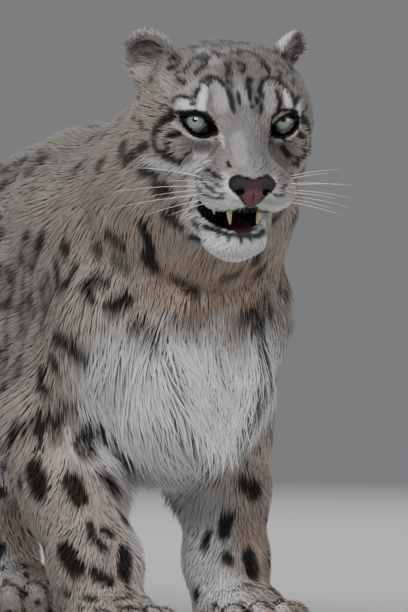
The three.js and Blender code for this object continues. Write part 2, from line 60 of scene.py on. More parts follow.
def node(tree, kind, settings=None, inputs=None):
    """Adds a node, sets its properties and sockets, and links the sockets that are given another socket."""
    made = tree.nodes.new(kind)
    for key, value in (settings or {}).items():
        setattr(made, key, value)
    for key, value in (inputs or {}).items():
        if isinstance(value, bpy.types.NodeSocket):
            tree.links.new(value, made.inputs[key])
        else:
            made.inputs[key].default_value = value
    return made


def material(name, roughness, **sockets):
    """A material with these constants on its shader's own sockets. Colour and bump are linked afterwards."""
    made = bpy.data.materials.new(name)
    made.use_nodes = True
    shader = made.node_tree.nodes["Principled BSDF"]
    shader.inputs["Roughness"].default_value = roughness
    for key, value in sockets.items():
        shader.inputs[key.replace("_", " ")].default_value = value
    return made, made.node_tree, shader


def coloured_material(name, roughness, **sockets):
    """A material that takes its colour from the vertices of its mesh."""
    made, tree, shader = material(name, roughness, **sockets)
    shade = node(tree, "ShaderNodeVertexColor", {"layer_name": "coat colour"})
    tree.links.new(shade.outputs["Color"], shader.inputs["Base Color"])
    return made, tree, shader


def two_tones(tree, shader, share, low, high):
    """Colours a material between two tones, by a share from 0 to 1."""
    tones = node(tree, "ShaderNodeValToRGB", inputs={"Fac": share})
    for element, text in zip(tones.color_ramp.elements, (low, high)):
        element.color = (*linear(text), 1)
    tree.links.new(tones.outputs["Color"], shader.inputs["Base Color"])


def add_bumps(tree, shader, height, strength, distance):
    bump = node(tree, "ShaderNodeBump", inputs={"Strength": strength, "Distance": distance, "Height": height})
    tree.links.new(bump.outputs["Normal"], shader.inputs["Normal"])


def mesh_object(name, vertices, faces):
    """A mesh object from arrays of vertices in millimetres of the animal and faces of one size."""
    mesh = bpy.data.meshes.new(name)
    size = faces.shape[1]
    mesh.vertices.add(len(vertices))
    mesh.vertices.foreach_set("co", ((vertices + SHIFT) * MM).astype(np.float32).ravel())
    mesh.loops.add(faces.size)
    mesh.loops.foreach_set("vertex_index", faces.astype(np.int32).ravel())
    mesh.polygons.add(len(faces))
    mesh.polygons.foreach_set("loop_start", np.arange(0, faces.size, size, dtype=np.int32))
    mesh.update(calc_edges=True)
    mesh.polygons.foreach_set("use_smooth", np.full(len(faces), True))
    made = bpy.data.objects.new(name, mesh)
    bpy.context.scene.collection.objects.link(made)
    return made


HEAD_PLACE = np.array([-23.0, -165.0, 498.0])
HEAD_TURN, HEAD_NOD = -16, 15
EYE_CENTRE = np.array([37.5, -46.0, 11.0])
EYE_RADIUS = 16.0


def rotation(axis, degrees):
    """The matrix that turns places about x, y or z, given as 0, 1 or 2."""
    angle = math.radians(degrees)
    u, v = [(1, 2), (2, 0), (0, 1)][axis]
    matrix = np.eye(3)
    matrix[u, u] = matrix[v, v] = math.cos(angle)
    matrix[u, v], matrix[v, u] = -math.sin(angle), math.sin(angle)
    return matrix


HEAD_AXES = rotation(2, HEAD_TURN) @ rotation(0, HEAD_NOD)


def from_head(points):
    return np.asarray(points, float) @ HEAD_AXES.T + HEAD_PLACE


def to_head(points):
    return (points - HEAD_PLACE) @ HEAD_AXES


# The solid model's origin is under the middle of its outline, and one eye tells how far that is from the
# shoulders.
eye_low, eye_high = (np.array(corner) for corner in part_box("eye_left"))
SHIFT = (eye_low + eye_high) / 2 / MM - from_head(EYE_CENTRE)

CAMERA_AZIMUTH = math.radians(-28)
CAMERA_DISTANCE = 6000.0
CAMERA_LENS = 370.0
SENSOR_WIDTH = 36
FRAME_CENTRE_RIGHT = 35.0
FRAME_CENTRE_HEIGHT = 328.0
camera_right = np.array([math.cos(CAMERA_AZIMUTH), math.sin(CAMERA_AZIMUTH), 0])
camera_back = np.array([math.sin(CAMERA_AZIMUTH), -math.cos(CAMERA_AZIMUTH), 0])
frame_centre = FRAME_CENTRE_RIGHT * camera_right + np.array([0, 0, FRAME_CENTRE_HEIGHT])
CAMERA_PLACE = frame_centre + CAMERA_DISTANCE * camera_back

camera_data = bpy.data.cameras.new("camera")
camera_data.lens = CAMERA_LENS
camera_data.sensor_width = SENSOR_WIDTH
camera = bpy.data.objects.new("camera", camera_data)
camera.location = Vector((CAMERA_PLACE + SHIFT) * MM)
camera.rotation_euler = Vector(-camera_back).to_track_quat("-Z", "Y").to_euler()
bpy.context.scene.collection.objects.link(camera)
bpy.context.scene.camera = camera

FLOOR_SIZE = 9.0
bpy.ops.mesh.primitive_plane_add(size=FLOOR_SIZE)
floor = bpy.context.object
floor.name = "floor"
floor_paint, tree, shader = material("matt pale floor paint", 0.9)
grain = node(tree, "ShaderNodeTexNoise", inputs={"Scale": 60.0, "Detail": 3.0})
two_tones(tree, shader, grain.outputs["Fac"], "#c9c9c8", "#d2d2d0")
floor.data.materials.append(floor_paint)

LAMPS_AIM_AT = Vector((0, -0.4, 0.35))
SURROUND_STRENGTH = 0.3
LAMPS = {  # place in metres, size in metres, watts
    "key lamp": ((-2.6, -3.4, 2.9), 2.0, 235),
    "fill lamp": ((3.2, -2.6, 1.6), 2.4, 46),
    "back lamp": ((1.2, 3.2, 3.0), 2.4, 80),
}
for name, (place, size, watts) in LAMPS.items():
    lamp = bpy.data.lights.new(name, "AREA")
    lamp.size = size
    lamp.energy = watts
    holder = bpy.data.objects.new(name, lamp)
    holder.location = place
    holder.rotation_euler = (LAMPS_AIM_AT - Vector(place)).to_track_quat("-Z", "Y").to_euler()
    bpy.context.scene.collection.objects.link(holder)
surround = bpy.data.worlds.new("pale surround")
surround.use_nodes = True
surround.node_tree.nodes["Background"].inputs["Color"].default_value = (*linear("#d6d9dc"), 1)
surround.node_tree.nodes["Background"].inputs["Strength"].default_value = SURROUND_STRENGTH
bpy.context.scene.world = surround

# The body's form, as fields: functions of places that are about the distance to the outside of the coat,
# negative inside. They follow the solid model's forms, so skin and coat fit it. The skin lies deeper by
# each part's coat.
TRUNK = np.array([  # y, height of the back, height of the belly, half width
    [-106, 330, 268, 34], [-92, 372, 216, 64], [-58, 428, 172, 86], [0, 474, 148, 100],
    [90, 502, 146, 112], [190, 500, 154, 120], [270, 479, 162, 125], [350, 457, 172, 126],
    [460, 452, 188, 118], [560, 462, 210, 108], [650, 460, 240, 100], [708, 434, 286, 80],
    [740, 398, 334, 44]], float)
TRUNK_SQUARENESS = 2.3
NECK = [(0, 60, 390, 106), (-3, -40, 422, 90), (-12, -104, 456, 76), (-22, -146, 482, 70)]
TAIL = [(0, 716, 414, 52), (0, 792, 356, 54), (5, 860, 280, 57), (14, 930, 208, 58), (26, 1014, 156, 58),
        (36, 1106, 134, 57), (42, 1196, 146, 55), (42, 1270, 190, 52), (38, 1322, 250, 44)]
LEGS = {  # side, joints of the upper leg, joints below it, foot of the leg
    "foreleg_right": (-1, [(46, 92, 440, 48), (66, -14, 330, 52), (84, 76, 226, 52)],
                      [(84, 76, 226, 50), (82, 42, 150, 45), (76, 2, 84, 41), (76, -10, 52, 40)], (76, -18)),
    "foreleg_left": (1, [(46, 92, 440, 48), (66, -10, 330, 52), (88, 62, 226, 50)],
                     [(88, 62, 226, 47), (89, 54, 150, 42), (86, 42, 84, 38), (86, 34, 52, 38)], (86, 24)),
    "hindleg_right": (-1, [(52, 650, 380, 82), (66, 606, 350, 86), (92, 522, 268, 62)],
                      [(92, 522, 268, 60), (90, 606, 206, 50), (84, 690, 150, 40), (84, 676, 86, 35),
                       (84, 656, 50, 36)], (84, 648)),
    "hindleg_left": (1, [(52, 640, 380, 82), (68, 566, 340, 86), (94, 434, 262, 62)],
                     [(94, 434, 262, 60), (92, 500, 188, 50), (86, 562, 126, 40), (86, 538, 78, 35),
                      (86, 516, 50, 36)], (86, 508)),
}
PAW = [  # the pad, then four toes: middle and radii of each
    (0, -14, 32, 44, 50, 36), (-32, -58, 25, 16, 25, 22), (-11, -72, 26, 15, 25, 24),
    (12, -72, 26, 15, 25, 24), (33, -56, 25, 16, 25, 22)]
JAW_SWING = -4.0
EARS = {"ear_left": (1, (56, 36, 48), 26, 62), "ear_right": (-1, (66, 34, 46), 24, 28)}
EAR_SIZE = (24.0, 12.0, 34.0)


def smooth(value, low, high):
    """0 below low, 1 above high, and a smooth rise between."""
    t = np.clip((value - low) / (high - low), 0, 1)
    return t * t * (3 - 2 * t)


def egg(cx, cy, cz, rx, ry, rz):
    def field(p):
        d = (p - (cx, cy, cz)) / (rx, ry, rz)
        near = np.linalg.norm(d, axis=-1)
        slope = np.linalg.norm(d / (rx, ry, rz), axis=-1)
        return near * (near - 1) / np.maximum(slope, 1e-9)
    return field


def bone(a, b):
    start, along = np.array(a[:3], float), np.array(b[:3], float) - np.array(a[:3], float)

    def field(p):
        offset = p - start
        t = np.clip(offset @ along / (along @ along), 0, 1)
        return np.linalg.norm(offset - t[..., None] * along, axis=-1) - (a[3] + (b[3] - a[3]) * t)
    return field


def soft_union(a, b, softness):
    overlap = np.maximum(softness - np.abs(a - b), 0) / softness
    return np.minimum(a, b) - overlap * overlap * softness / 4


def blend(softness, fields):
    def field(p):
        total = fields[0](p)
        for other in fields[1:]:
            total = soft_union(total, other(p), softness)
        return total
    return field


def chain(softness, joints):
    return blend(softness, [bone(a, b) for a, b in zip(joints, joints[1:])])


def on_side(side, rows):
    return [(side * row[0], *row[1:]) for row in rows]


def trunk_outline(y):
    """Back, belly and half width of the trunk at each y, on smooth curves through the rows of TRUNK."""
    at = np.clip(y, TRUNK[0, 0], TRUNK[-1, 0])
    i = np.clip(np.searchsorted(TRUNK[:, 0], at, side="right") - 1, 0, len(TRUNK) - 2)
    slopes = np.empty_like(TRUNK[:, 1:])
    slopes[1:-1] = (TRUNK[2:, 1:] - TRUNK[:-2, 1:]) / (TRUNK[2:, :1] - TRUNK[:-2, :1])
    slopes[0] = (TRUNK[1, 1:] - TRUNK[0, 1:]) / (TRUNK[1, 0] - TRUNK[0, 0])
    slopes[-1] = (TRUNK[-1, 1:] - TRUNK[-2, 1:]) / (TRUNK[-1, 0] - TRUNK[-2, 0])
    step = (TRUNK[i + 1, 0] - TRUNK[i, 0])[..., None]
    t = ((at - TRUNK[i, 0]) / step[..., 0])[..., None]
    values = ((2 * t**3 - 3 * t**2 + 1) * TRUNK[i, 1:] + (t**3 - 2 * t**2 + t) * step * slopes[i]
              + (3 * t**2 - 2 * t**3) * TRUNK[i + 1, 1:] + (t**3 - t**2) * step * slopes[i + 1])
    return values[..., 0], values[..., 1], values[..., 2]


def barrel(p):
    top, bottom, half = trunk_outline(p[..., 1])
    tall = np.maximum((top - bottom) / 2, 1)
    across = np.abs(p[..., 0]) / half
    up = np.abs(p[..., 2] - (top + bottom) / 2) / tall
    near = (across**TRUNK_SQUARENESS + up**TRUNK_SQUARENESS) ** (1 / TRUNK_SQUARENESS)
    ends = np.maximum(TRUNK[0, 0] - p[..., 1], p[..., 1] - TRUNK[-1, 0])
    return np.maximum((near - 1) * np.minimum(tall, half), ends)


def pair(make):
    return [make(1), make(-1)]


skull = blend(20, [
    egg(0, 12, 14, 79, 80, 62), egg(0, -26, 28, 48, 42, 42),
    *pair(lambda s: egg(s * 40, 16, -16, 41, 50, 44)),
    *pair(lambda s: egg(s * 22, 8, -54, 30, 44, 28)), *pair(lambda s: egg(s * 43, -28, -14, 25, 24, 25)),
    *pair(lambda s: egg(s * 36, -52, 29, 22, 13, 9)), bone((0, -36, 20, 26), (0, -104, -18, 17)),
    egg(0, -82, -36, 39, 34, 23), *pair(lambda s: egg(s * 20, -96, -42, 24, 22, 17))])
sockets = pair(lambda s: egg(s * 40, -64, 8, 17, 13, 9))
jaw = blend(12, [bone((0, 0, -80, 34), (JAW_SWING, -70, -96, 16)), egg(JAW_SWING, -74, -93, 30, 20, 17),
                 *pair(lambda s: egg(s * 20 + JAW_SWING, -34, -84, 15, 36, 17))])
mouth = blend(8, [egg(JAW_SWING / 2, -58, -69, 33, 48, 12), egg(JAW_SWING / 2, -104, -68, 30, 30, 13)])


def leaning_egg(centre, radii, lean):
    """An egg turned about the axis of the muzzle."""
    turned = rotation(1, lean)
    shape = egg(0, 0, 0, *radii)
    return lambda q: shape((q - centre) @ turned)


nose_y, nose_z = -114.0, -35.0
nose_pad = blend(7, [
    *pair(lambda s: egg(s * 11, nose_y - 1, nose_z + 5, 10, 9, 8)),
    egg(0, nose_y - 2, nose_z, 13, 9, 9), egg(0, nose_y - 3, nose_z - 7, 7, 7, 9)])
nostrils = pair(lambda s: leaning_egg((s * 12.5, nose_y - 8, nose_z - 1), (4.6, 7, 3.4), 32 * s))


def ear_axes(side, lean, outward):
    return rotation(1, side * lean) @ rotation(2, side * outward)


def ear(side, place, lean, outward):
    """An ear in the head's frame: a rounded shell with a cup in front."""
    half, thick, tall = EAR_SIZE
    axes = ear_axes(side, lean, outward)
    centre = np.array([side * place[0], place[1], place[2]], float)
    shell = blend(8, [egg(0, 0, tall - 27, half, thick, 27), egg(0, 3, -10, half * 0.86, thick * 1.4, 20)])
    cup = egg(0, -thick * 0.8, tall - 26, half - 6, thick * 0.95, 20)

    def field(q):
        local = (q - centre) @ axes
        return np.maximum(shell(local), -cup(local))
    return field


UPPER_LID, LOWER_LID, LID_TILT, LID_REACH = 9.5, -9.0, 4.0, 18.0
LID_THICKNESS = 3.2


def eye_frame(side, q):
    """Places seen from an eye: outwards along the lids, up, and forwards out of the socket."""
    facing = np.array([side * 0.22, -0.97, 0.04])
    facing /= np.linalg.norm(facing)
    out = np.array([-facing[1], facing[0], 0]) * side / np.hypot(facing[0], facing[1])
    up = np.cross(facing, out) * side
    offset = q - EYE_CENTRE * (side, 1, 1)
    return offset @ out, offset @ up, offset @ facing


def lid_gap(side, q):
    """Distance out from the almond between the lids, across the line of sight, negative inside it."""
    sideways, rise, forward = eye_frame(side, q)
    s = sideways / LID_REACH
    arch = 1 - s * s
    middle = LID_TILT * s
    return np.maximum(rise - middle - UPPER_LID * arch, middle + LOWER_LID * arch - rise), rise, forward


def lid_opening(side, q):
    """Negative in the gap between the lids, which widens forwards a little as the lids round off."""
    gap, _, forward = lid_gap(side, q)
    return np.maximum(gap - 0.7 * np.clip(forward - EYE_RADIUS - 1, 0, 9), -forward)


def lid_cover(side, q):
    """The lids' skin over the eye, as a thin shell in front of the ball."""
    sideways, rise, forward = eye_frame(side, q)
    shell = np.sqrt(sideways**2 + rise**2 + forward**2) - EYE_RADIUS - LID_THICKNESS
    return np.maximum(shell, 3 - forward)


def face_depth(q):
    """Depth of the coat on the head: very short on the face, longer on the crown, longest on the cheeks."""
    back = smooth(q[..., 1], -60, 10)
    return 2.5 + 3.5 * back + 4 * back * smooth(-q[..., 2], -10, 40)


def head_field(p, deep):
    q = to_head(p)
    flesh = skull(q) + deep * face_depth(q)
    flesh = soft_union(flesh, jaw(q) + deep * (2.5 + 4 * smooth(q[..., 1], -70, -20)), 8)
    for name, (side, place, lean, outward) in EARS.items():
        flesh = soft_union(flesh, ear(side, place, lean, outward)(q) + deep * 2.0, 7)
    for socket in sockets:
        flesh = np.maximum(flesh, -socket(q))
    flesh = np.maximum(flesh, -(mouth(q) - deep * 1.0))
    for side in (1, -1):
        flesh = soft_union(flesh, lid_cover(side, q), 5)
        flesh = np.maximum(flesh, -lid_opening(side, q))
    for side in (1, -1):
        ball = np.linalg.norm(q - EYE_CENTRE * (side, 1, 1), axis=-1) - EYE_RADIUS
        flesh = np.maximum(flesh, -(ball - 0.2))
    return flesh


def trunk_depth(p):
    """Depth of the coat on the trunk: long on the chest and under the belly."""
    inward = 1 - smooth(np.abs(p[..., 0]), 50, 116)
    front = smooth(-p[..., 1], -60, 40) * smooth(-p[..., 2], -380, -300)
    under = smooth(-p[..., 2], -300, -210)
    return 10 + inward * np.maximum(15 * front, 16 * under)


trunk = blend(42, [barrel] + [chain(20, on_side(side, top)) for side, top, _, _ in LEGS.values()])
neck = chain(60, NECK)


def smooth_path(joints, between, thicker):
    """Joints on an even curve through the given ones, so that bends don't swell."""
    j = np.array(joints, float)
    j = np.concatenate([[2 * j[0] - j[1]], j, [2 * j[-1] - j[-2]]])
    t = np.linspace(0, 1, between, endpoint=False)[:, None]
    out = []
    for a, b, c, d in zip(j, j[1:], j[2:], j[3:]):
        square, cube = 2 * a - 5 * b + 4 * c - d, 3 * b - a - 3 * c + d
        out.append(0.5 * (2 * b + (c - a) * t + square * t**2 + cube * t**3))
    out = np.concatenate(out + [j[-2:-1]])
    out[:, 3] += thicker
    return [tuple(row) for row in out]


TAIL_PATH = smooth_path(TAIL, 3, 4)
tail = chain(6, TAIL_PATH)
shanks = {name: chain(24, on_side(side, joints)) for name, (side, _, joints, _) in LEGS.items()}


def paw(side, foot):
    parts = blend(7, [egg(*part) for part in PAW])
    return lambda p: np.maximum(parts(p - (side * foot[0], foot[1], 0)), -p[..., 2])


paws = {name: paw(side, foot) for name, (side, _, _, foot) in LEGS.items()}

# Each part of the body: its reach in y and z, its field with a coat of depth 0 or 1, and how softly it
# joins on.
NECK_COAT, TAIL_COAT, LEG_COAT, PAW_COAT = 10, 19, 5.5, 4
PARTS = {
    "trunk": ((-150, 790, 0, 600), lambda p, deep: trunk(p) + deep * trunk_depth(p), 1),
    "neck": ((-260, 190, 240, 620), lambda p, deep: neck(p) + deep * NECK_COAT, 36),
    "tail": ((640, 1400, 0, 480), lambda p, deep: tail(p) + deep * TAIL_COAT, 30),
    "head": ((-330, -40, 350, 640), head_field, 26),
}
for name in LEGS:
    ys = [joint[1] for joint in LEGS[name][2]]
    reach = (min(ys) - 90, max(ys) + 90, -20, LEGS[name][2][0][2] + 90)
    PARTS[name] = (reach, lambda p, deep, f=shanks[name]: f(p) + deep * LEG_COAT, 24)
    foot_y = LEGS[name][3][1]
    PARTS[name.replace("leg", "paw")] = (
        (foot_y - 130, foot_y + 80, -20, 110),
        lambda p, deep, f=paws[name]: f(p) + deep * np.minimum(PAW_COAT, p[..., 2] * 0.4), 14)


def body(p, deep):
    """The whole animal at places p: its outside with deep 0, its skin with deep 1."""
    total = np.full(p.shape[:-1], 1e3)
    near, far = p[..., 1].min(), p[..., 1].max()
    low, high = p[..., 2].min(), p[..., 2].max()
    for (front, rear, bottom, top), field, softness in PARTS.values():
        if front < far and rear > near and bottom < high and top > low:
            total = soft_union(total, field(p, deep), softness)
    return np.maximum(total, -p[..., 2])


# The skin: one closed surface over head, trunk, legs and tail, of pale hide that the coat hides almost
# everywhere. It is drawn from the body's field on a grid, finer over the head, and then moved exactly
# onto the field.
def steps(*stretches):
    parts = [np.arange(a, b, step) for a, b, step in stretches]
    return np.concatenate(parts + [[stretches[-1][1]]])


grid_x = steps((-150, -108, 5), (-108, -86, 2.6), (-86, 42, 1.8), (42, 80, 2.6), (80, 151, 5))
grid_y = steps((-300, -190, 1.8), (-190, -90, 3), (-90, 1382, 6.5))
grid_z = steps((-6, 384, 5.8), (384, 480, 2.6), (480, 530, 1.8), (530, 590, 2.6))


def sampled_field():
    values = np.empty((len(grid_x), len(grid_y), len(grid_z)), np.float32)
    slab = 12
    for j in range(0, len(grid_y), slab):
        for k in range(0, len(grid_z), slab):
            block = np.meshgrid(grid_x, grid_y[j:j + slab], grid_z[k:k + slab], indexing="ij")
            values[:, j:j + slab, k:k + slab] = body(np.stack(block, axis=-1), 1)
    return values


def surface(values, axes):
    """A quad mesh where a sampled field changes sign, with a vertex in each cell that the surface crosses."""
    inside = values < 0
    corners = [(a, b, c) for a in (0, 1) for b in (0, 1) for c in (0, 1)]
    shape = np.array(values.shape) - 1

    def view(array, o):
        return array[o[0]:o[0] + shape[0], o[1]:o[1] + shape[1], o[2]:o[2] + shape[2]]

    count = sum(view(inside, o).astype(np.int8) for o in corners)
    cells = np.argwhere((count > 0) & (count < 8))
    number = np.full(shape, -1)
    number[tuple(cells.T)] = np.arange(len(cells))
    total = np.zeros((len(cells), 3))
    hits = np.zeros(len(cells))
    for a in corners:
        for b in corners:
            if sum(b) != sum(a) + 1 or any(q < p for p, q in zip(a, b)):
                continue
            ia, ib = cells + a, cells + b
            va, vb = values[tuple(ia.T)], values[tuple(ib.T)]
            crossed = (va < 0) != (vb < 0)
            share = np.where(crossed, va / np.where(crossed, va - vb, 1), 0)
            pa = np.stack([axes[k][ia[:, k]] for k in range(3)], axis=1)
            pb = np.stack([axes[k][ib[:, k]] for k in range(3)], axis=1)
            total += np.where(crossed[:, None], pa + share[:, None] * (pb - pa), 0)
            hits += crossed
    vertices = total / np.maximum(hits, 1)[:, None]
    faces = []
    for k in range(3):
        u, v = [(1, 2), (2, 0), (0, 1)][k]
        forward = [slice(None)] * 3
        back = [slice(None)] * 3
        forward[k], back[k] = slice(1, None), slice(None, -1)
        changed = np.argwhere(inside[tuple(back)] != inside[tuple(forward)])
        changed = changed[(changed[:, u] > 0) & (changed[:, v] > 0)
                          & (changed[:, u] < shape[u]) & (changed[:, v] < shape[v])]
        ring = []
        for du, dv in ((-1, -1), (0, -1), (0, 0), (-1, 0)):
            cell = changed.copy()
            cell[:, u] += du
            cell[:, v] += dv
            ring.append(number[tuple(cell.T)])
        quads = np.stack(ring, axis=1)
        outward = inside[tuple(changed.T)]
        quads[~outward] = quads[~outward][:, ::-1]
        faces.append(quads)
    return vertices, np.concatenate(faces)


def gradient(field, p, reach=0.6):
    """Which way a field rises fastest at places p."""
    out = np.empty_like(p)
    for k in range(3):
        step = np.zeros(3)
        step[k] = reach
        out[:, k] = (field(p + step) - field(p - step)) / (2 * reach)
    return out


def in_slabs(function, p, slab=60.0):
    """Runs a function over places sorted into slabs along the body, so that far parts are skipped."""
    order = np.argsort(p[:, 1], kind="stable")
    out = None
    edges = np.searchsorted(p[order, 1], np.arange(p[:, 1].min(), p[:, 1].max() + slab, slab))
    for a, b in zip(edges, [*edges[1:], len(p)]):
        if b > a:
            part = function(p[order[a:b]])
            out = np.empty((len(p), *part.shape[1:])) if out is None else out
            out[order[a:b]] = part
    return out


def settle(field, p, rounds=2, most=2.5):
    """Moves places onto a field's surface, and returns them with the outward direction there."""
    for _ in range(rounds):
        slope = in_slabs(lambda q: gradient(field, q), p)
        value = in_slabs(field, p)
        move = -value / np.maximum((slope**2).sum(axis=1), 0.05)
        step = slope * move[:, None]
        far = np.linalg.norm(step, axis=1)
        p = p + step * np.minimum(1, most / np.maximum(far, 1e-9))[:, None]
    slope = in_slabs(lambda q: gradient(field, q), p)
    return p, slope / np.maximum(np.linalg.norm(slope, axis=1), 1e-9)[:, None]


skin_points, skin_faces = surface(sampled_field(), (grid_x, grid_y, grid_z))
skin_points, skin_normals = settle(lambda p: body(p, 1), skin_points)

# Markings. The coat is smoky grey-beige above, warmer on neck and shoulder, and white on chest, belly,
# chin and the insides of the legs. Black marks are open rosettes on the trunk, solid spots on legs and
# neck, dots on the head.
SMOKE = linear("#a0978f")
SLATE = linear("#66625f")
TAWNY = linear("#a98c78")
WHITE = linear("#d6d7d9")
CREAM = linear("#b9a797")
PEARL = linear("#a9a7a8")
BRIDGE = linear("#77767b")
CENTRE = linear("#6b5f57")
EAR_INSIDE = linear("#5c5253")
BLACK = linear("#0d0c0d")
LIP = linear("#080708")
# The gum colour is kept dark, as painted shade inside the mouth.
GUM_IN_PAINTED_SHADE = linear("#2c1214")

rng = np.random.default_rng(41)
WAVES = rng.normal(size=(24, 3))
WAVES /= np.linalg.norm(WAVES, axis=1)[:, None]
PHASES = rng.uniform(0, 2 * np.pi, 24)


def ripple(p, size, which=0):
    """A smooth uneven field between about -1 and 1, whose swells are this many millimetres apart."""
    total = np.zeros(len(p))
    for i in range(6):
        k = (which * 6 + i) % 24
        total += np.sin(p @ WAVES[k] * (2 * np.pi / size * (0.75 + 0.1 * i)) + PHASES[k])
    return total / 3.2


def shares(p):
    """How much each part of the body owns each place, as weights that add up to 1."""
    values = {}
    for name, ((front, rear, bottom, top), field, _) in PARTS.items():
        near = np.full(len(p), 400.0)
        close = (p[:, 1] > front) & (p[:, 1] < rear) & (p[:, 2] > bottom) & (p[:, 2] < top)
        if close.any():
            near[close] = field(p[close], 0)
        values[name] = near
    least = np.min(list(values.values()), axis=0)
    weights = {name: np.exp(-(value - least) / 12) for name, value in values.items()}
    total = np.sum(list(weights.values()), axis=0)
    return {name: weight / total for name, weight in weights.items()}


def layered(colour, layers):
    """A colour under layers of others, each as strong at each place as its amount there."""
    for amount, other in layers:
        colour = colour + np.clip(amount, 0, 1)[:, None] * (other - colour)
    return colour


def ground_colour(p, n, w):
    """The coat's colour without its marks."""
    q = to_head(p)
    x, y, z = p.T
    head_x, head_y, head_z = q.T
    head = w["head"]
    limb = sum(w[name] + w[name.replace("leg", "paw")] for name in LEGS)
    layers = []
    layers.append((0.5 * smooth(n[:, 2], 0.2, 0.9) * smooth(z, 380, 470) * (1 - head), SLATE))
    neck_side = w["neck"] * smooth(z, 330, 380) * (1 - smooth(n[:, 2], 0.1, 0.8))
    layers.append((0.35 * neck_side * (0.7 + 0.3 * ripple(p, 70, 2)), TAWNY))
    throat = (w["trunk"] + w["neck"]) * smooth(-y, -60, 30) * smooth(z, 280, 320)
    layers.append((0.5 * throat * (1 - smooth(z, 350, 400)) * (1 - smooth(np.abs(x), 50, 90)), TAWNY))
    belly = w["trunk"] * smooth(-z + 20 * ripple(p, 60, 1), -280, -225)
    layers.append((belly * (1 - smooth(np.abs(x), 80, 112)), WHITE))
    bib = (w["trunk"] + w["neck"]) * smooth(-y, -40, 30)
    bib *= (1 - smooth(z + 14 * ripple(p, 50, 2), 272, 326)) * (1 - smooth(np.abs(x), 88, 116))
    layers.append((bib, WHITE))
    inner = np.where(x > 0, -n[:, 0], n[:, 0])
    layers.append((limb * smooth(inner, 0.1, 0.7) * smooth(z, 20, 60), WHITE))
    layers.append((0.5 * limb * smooth(n[:, 1], 0.4, 0.9), WHITE))
    layers.append((0.4 * limb * smooth(-n[:, 1], 0.2, 0.8) * (0.6 + 0.6 * ripple(p, 60, 1)), TAWNY))
    layers.append((0.5 * w["tail"] * smooth(-n[:, 2], 0.0, 0.8), WHITE))
    cheek = smooth(np.abs(head_x), 45, 70) * smooth(head_y, -30, 10) * smooth(-head_z, -40, 0)
    layers.append((head * 0.55 * cheek, CREAM))
    layers.append((head * 0.85 * smooth(head_z, 40, 66) * smooth(head_y, -50, 10), SLATE * 0.75))
    bridge = (1 - smooth(np.abs(head_x), 12, 24)) * smooth(-head_y, 45, 65) * smooth(head_z, -26, -14)
    layers.append((head * 0.9 * bridge, BRIDGE))
    under_eye = 1 - smooth(np.abs(np.abs(head_x) - 42) / 22, 0.5, 1)
    under_eye = under_eye * (1 - smooth(np.abs(head_z + 18), 8, 18))
    layers.append((head * 0.75 * under_eye * smooth(-head_y, 30, 50), BRIDGE * 0.8))
    forehead = (1 - smooth(np.abs(head_x), 26, 58)) * smooth(head_z, 14, 40)
    layers.append((head * 0.35 * smooth(head_z, -20, 10), SLATE))
    layers.append((head * 0.8 * forehead * (0.8 + 0.5 * ripple(p, 16, 2)), SLATE * 0.7))
    specks = smooth(ripple(p, 13, 0), 0.5, 0.7) * smooth(head_z, 34, 48)
    specks = specks * (1 - smooth(np.abs(head_x), 50, 74))
    layers.append((0.85 * head * specks, BLACK))
    upper_lip = smooth(-head_z, 46, 54) * smooth(-head_y, 60, 80) * (1 - smooth(-head_z, 70, 76))
    layers.append((head * 0.8 * upper_lip, WHITE))
    muzzle = smooth(-head_y, 70, 90) * smooth(-head_z, 26, 36) * smooth(np.abs(head_x), 8, 14)
    layers.append((head * 0.35 * muzzle, WHITE))
    layers.append((head * smooth(-head_z, 68, 80) * smooth(-head_y, 20, 44), WHITE))
    layers.append((head * 0.3 * smooth(-head_z, 40, 70) * (1 - smooth(-head_y, 20, 44)), PEARL))
    colour = layered(np.tile(SMOKE, (len(p), 1)), layers)
    return colour * (1 + 0.10 * ripple(p, 38, 3) + 0.05 * ripple(p, 11, 1))[:, None]


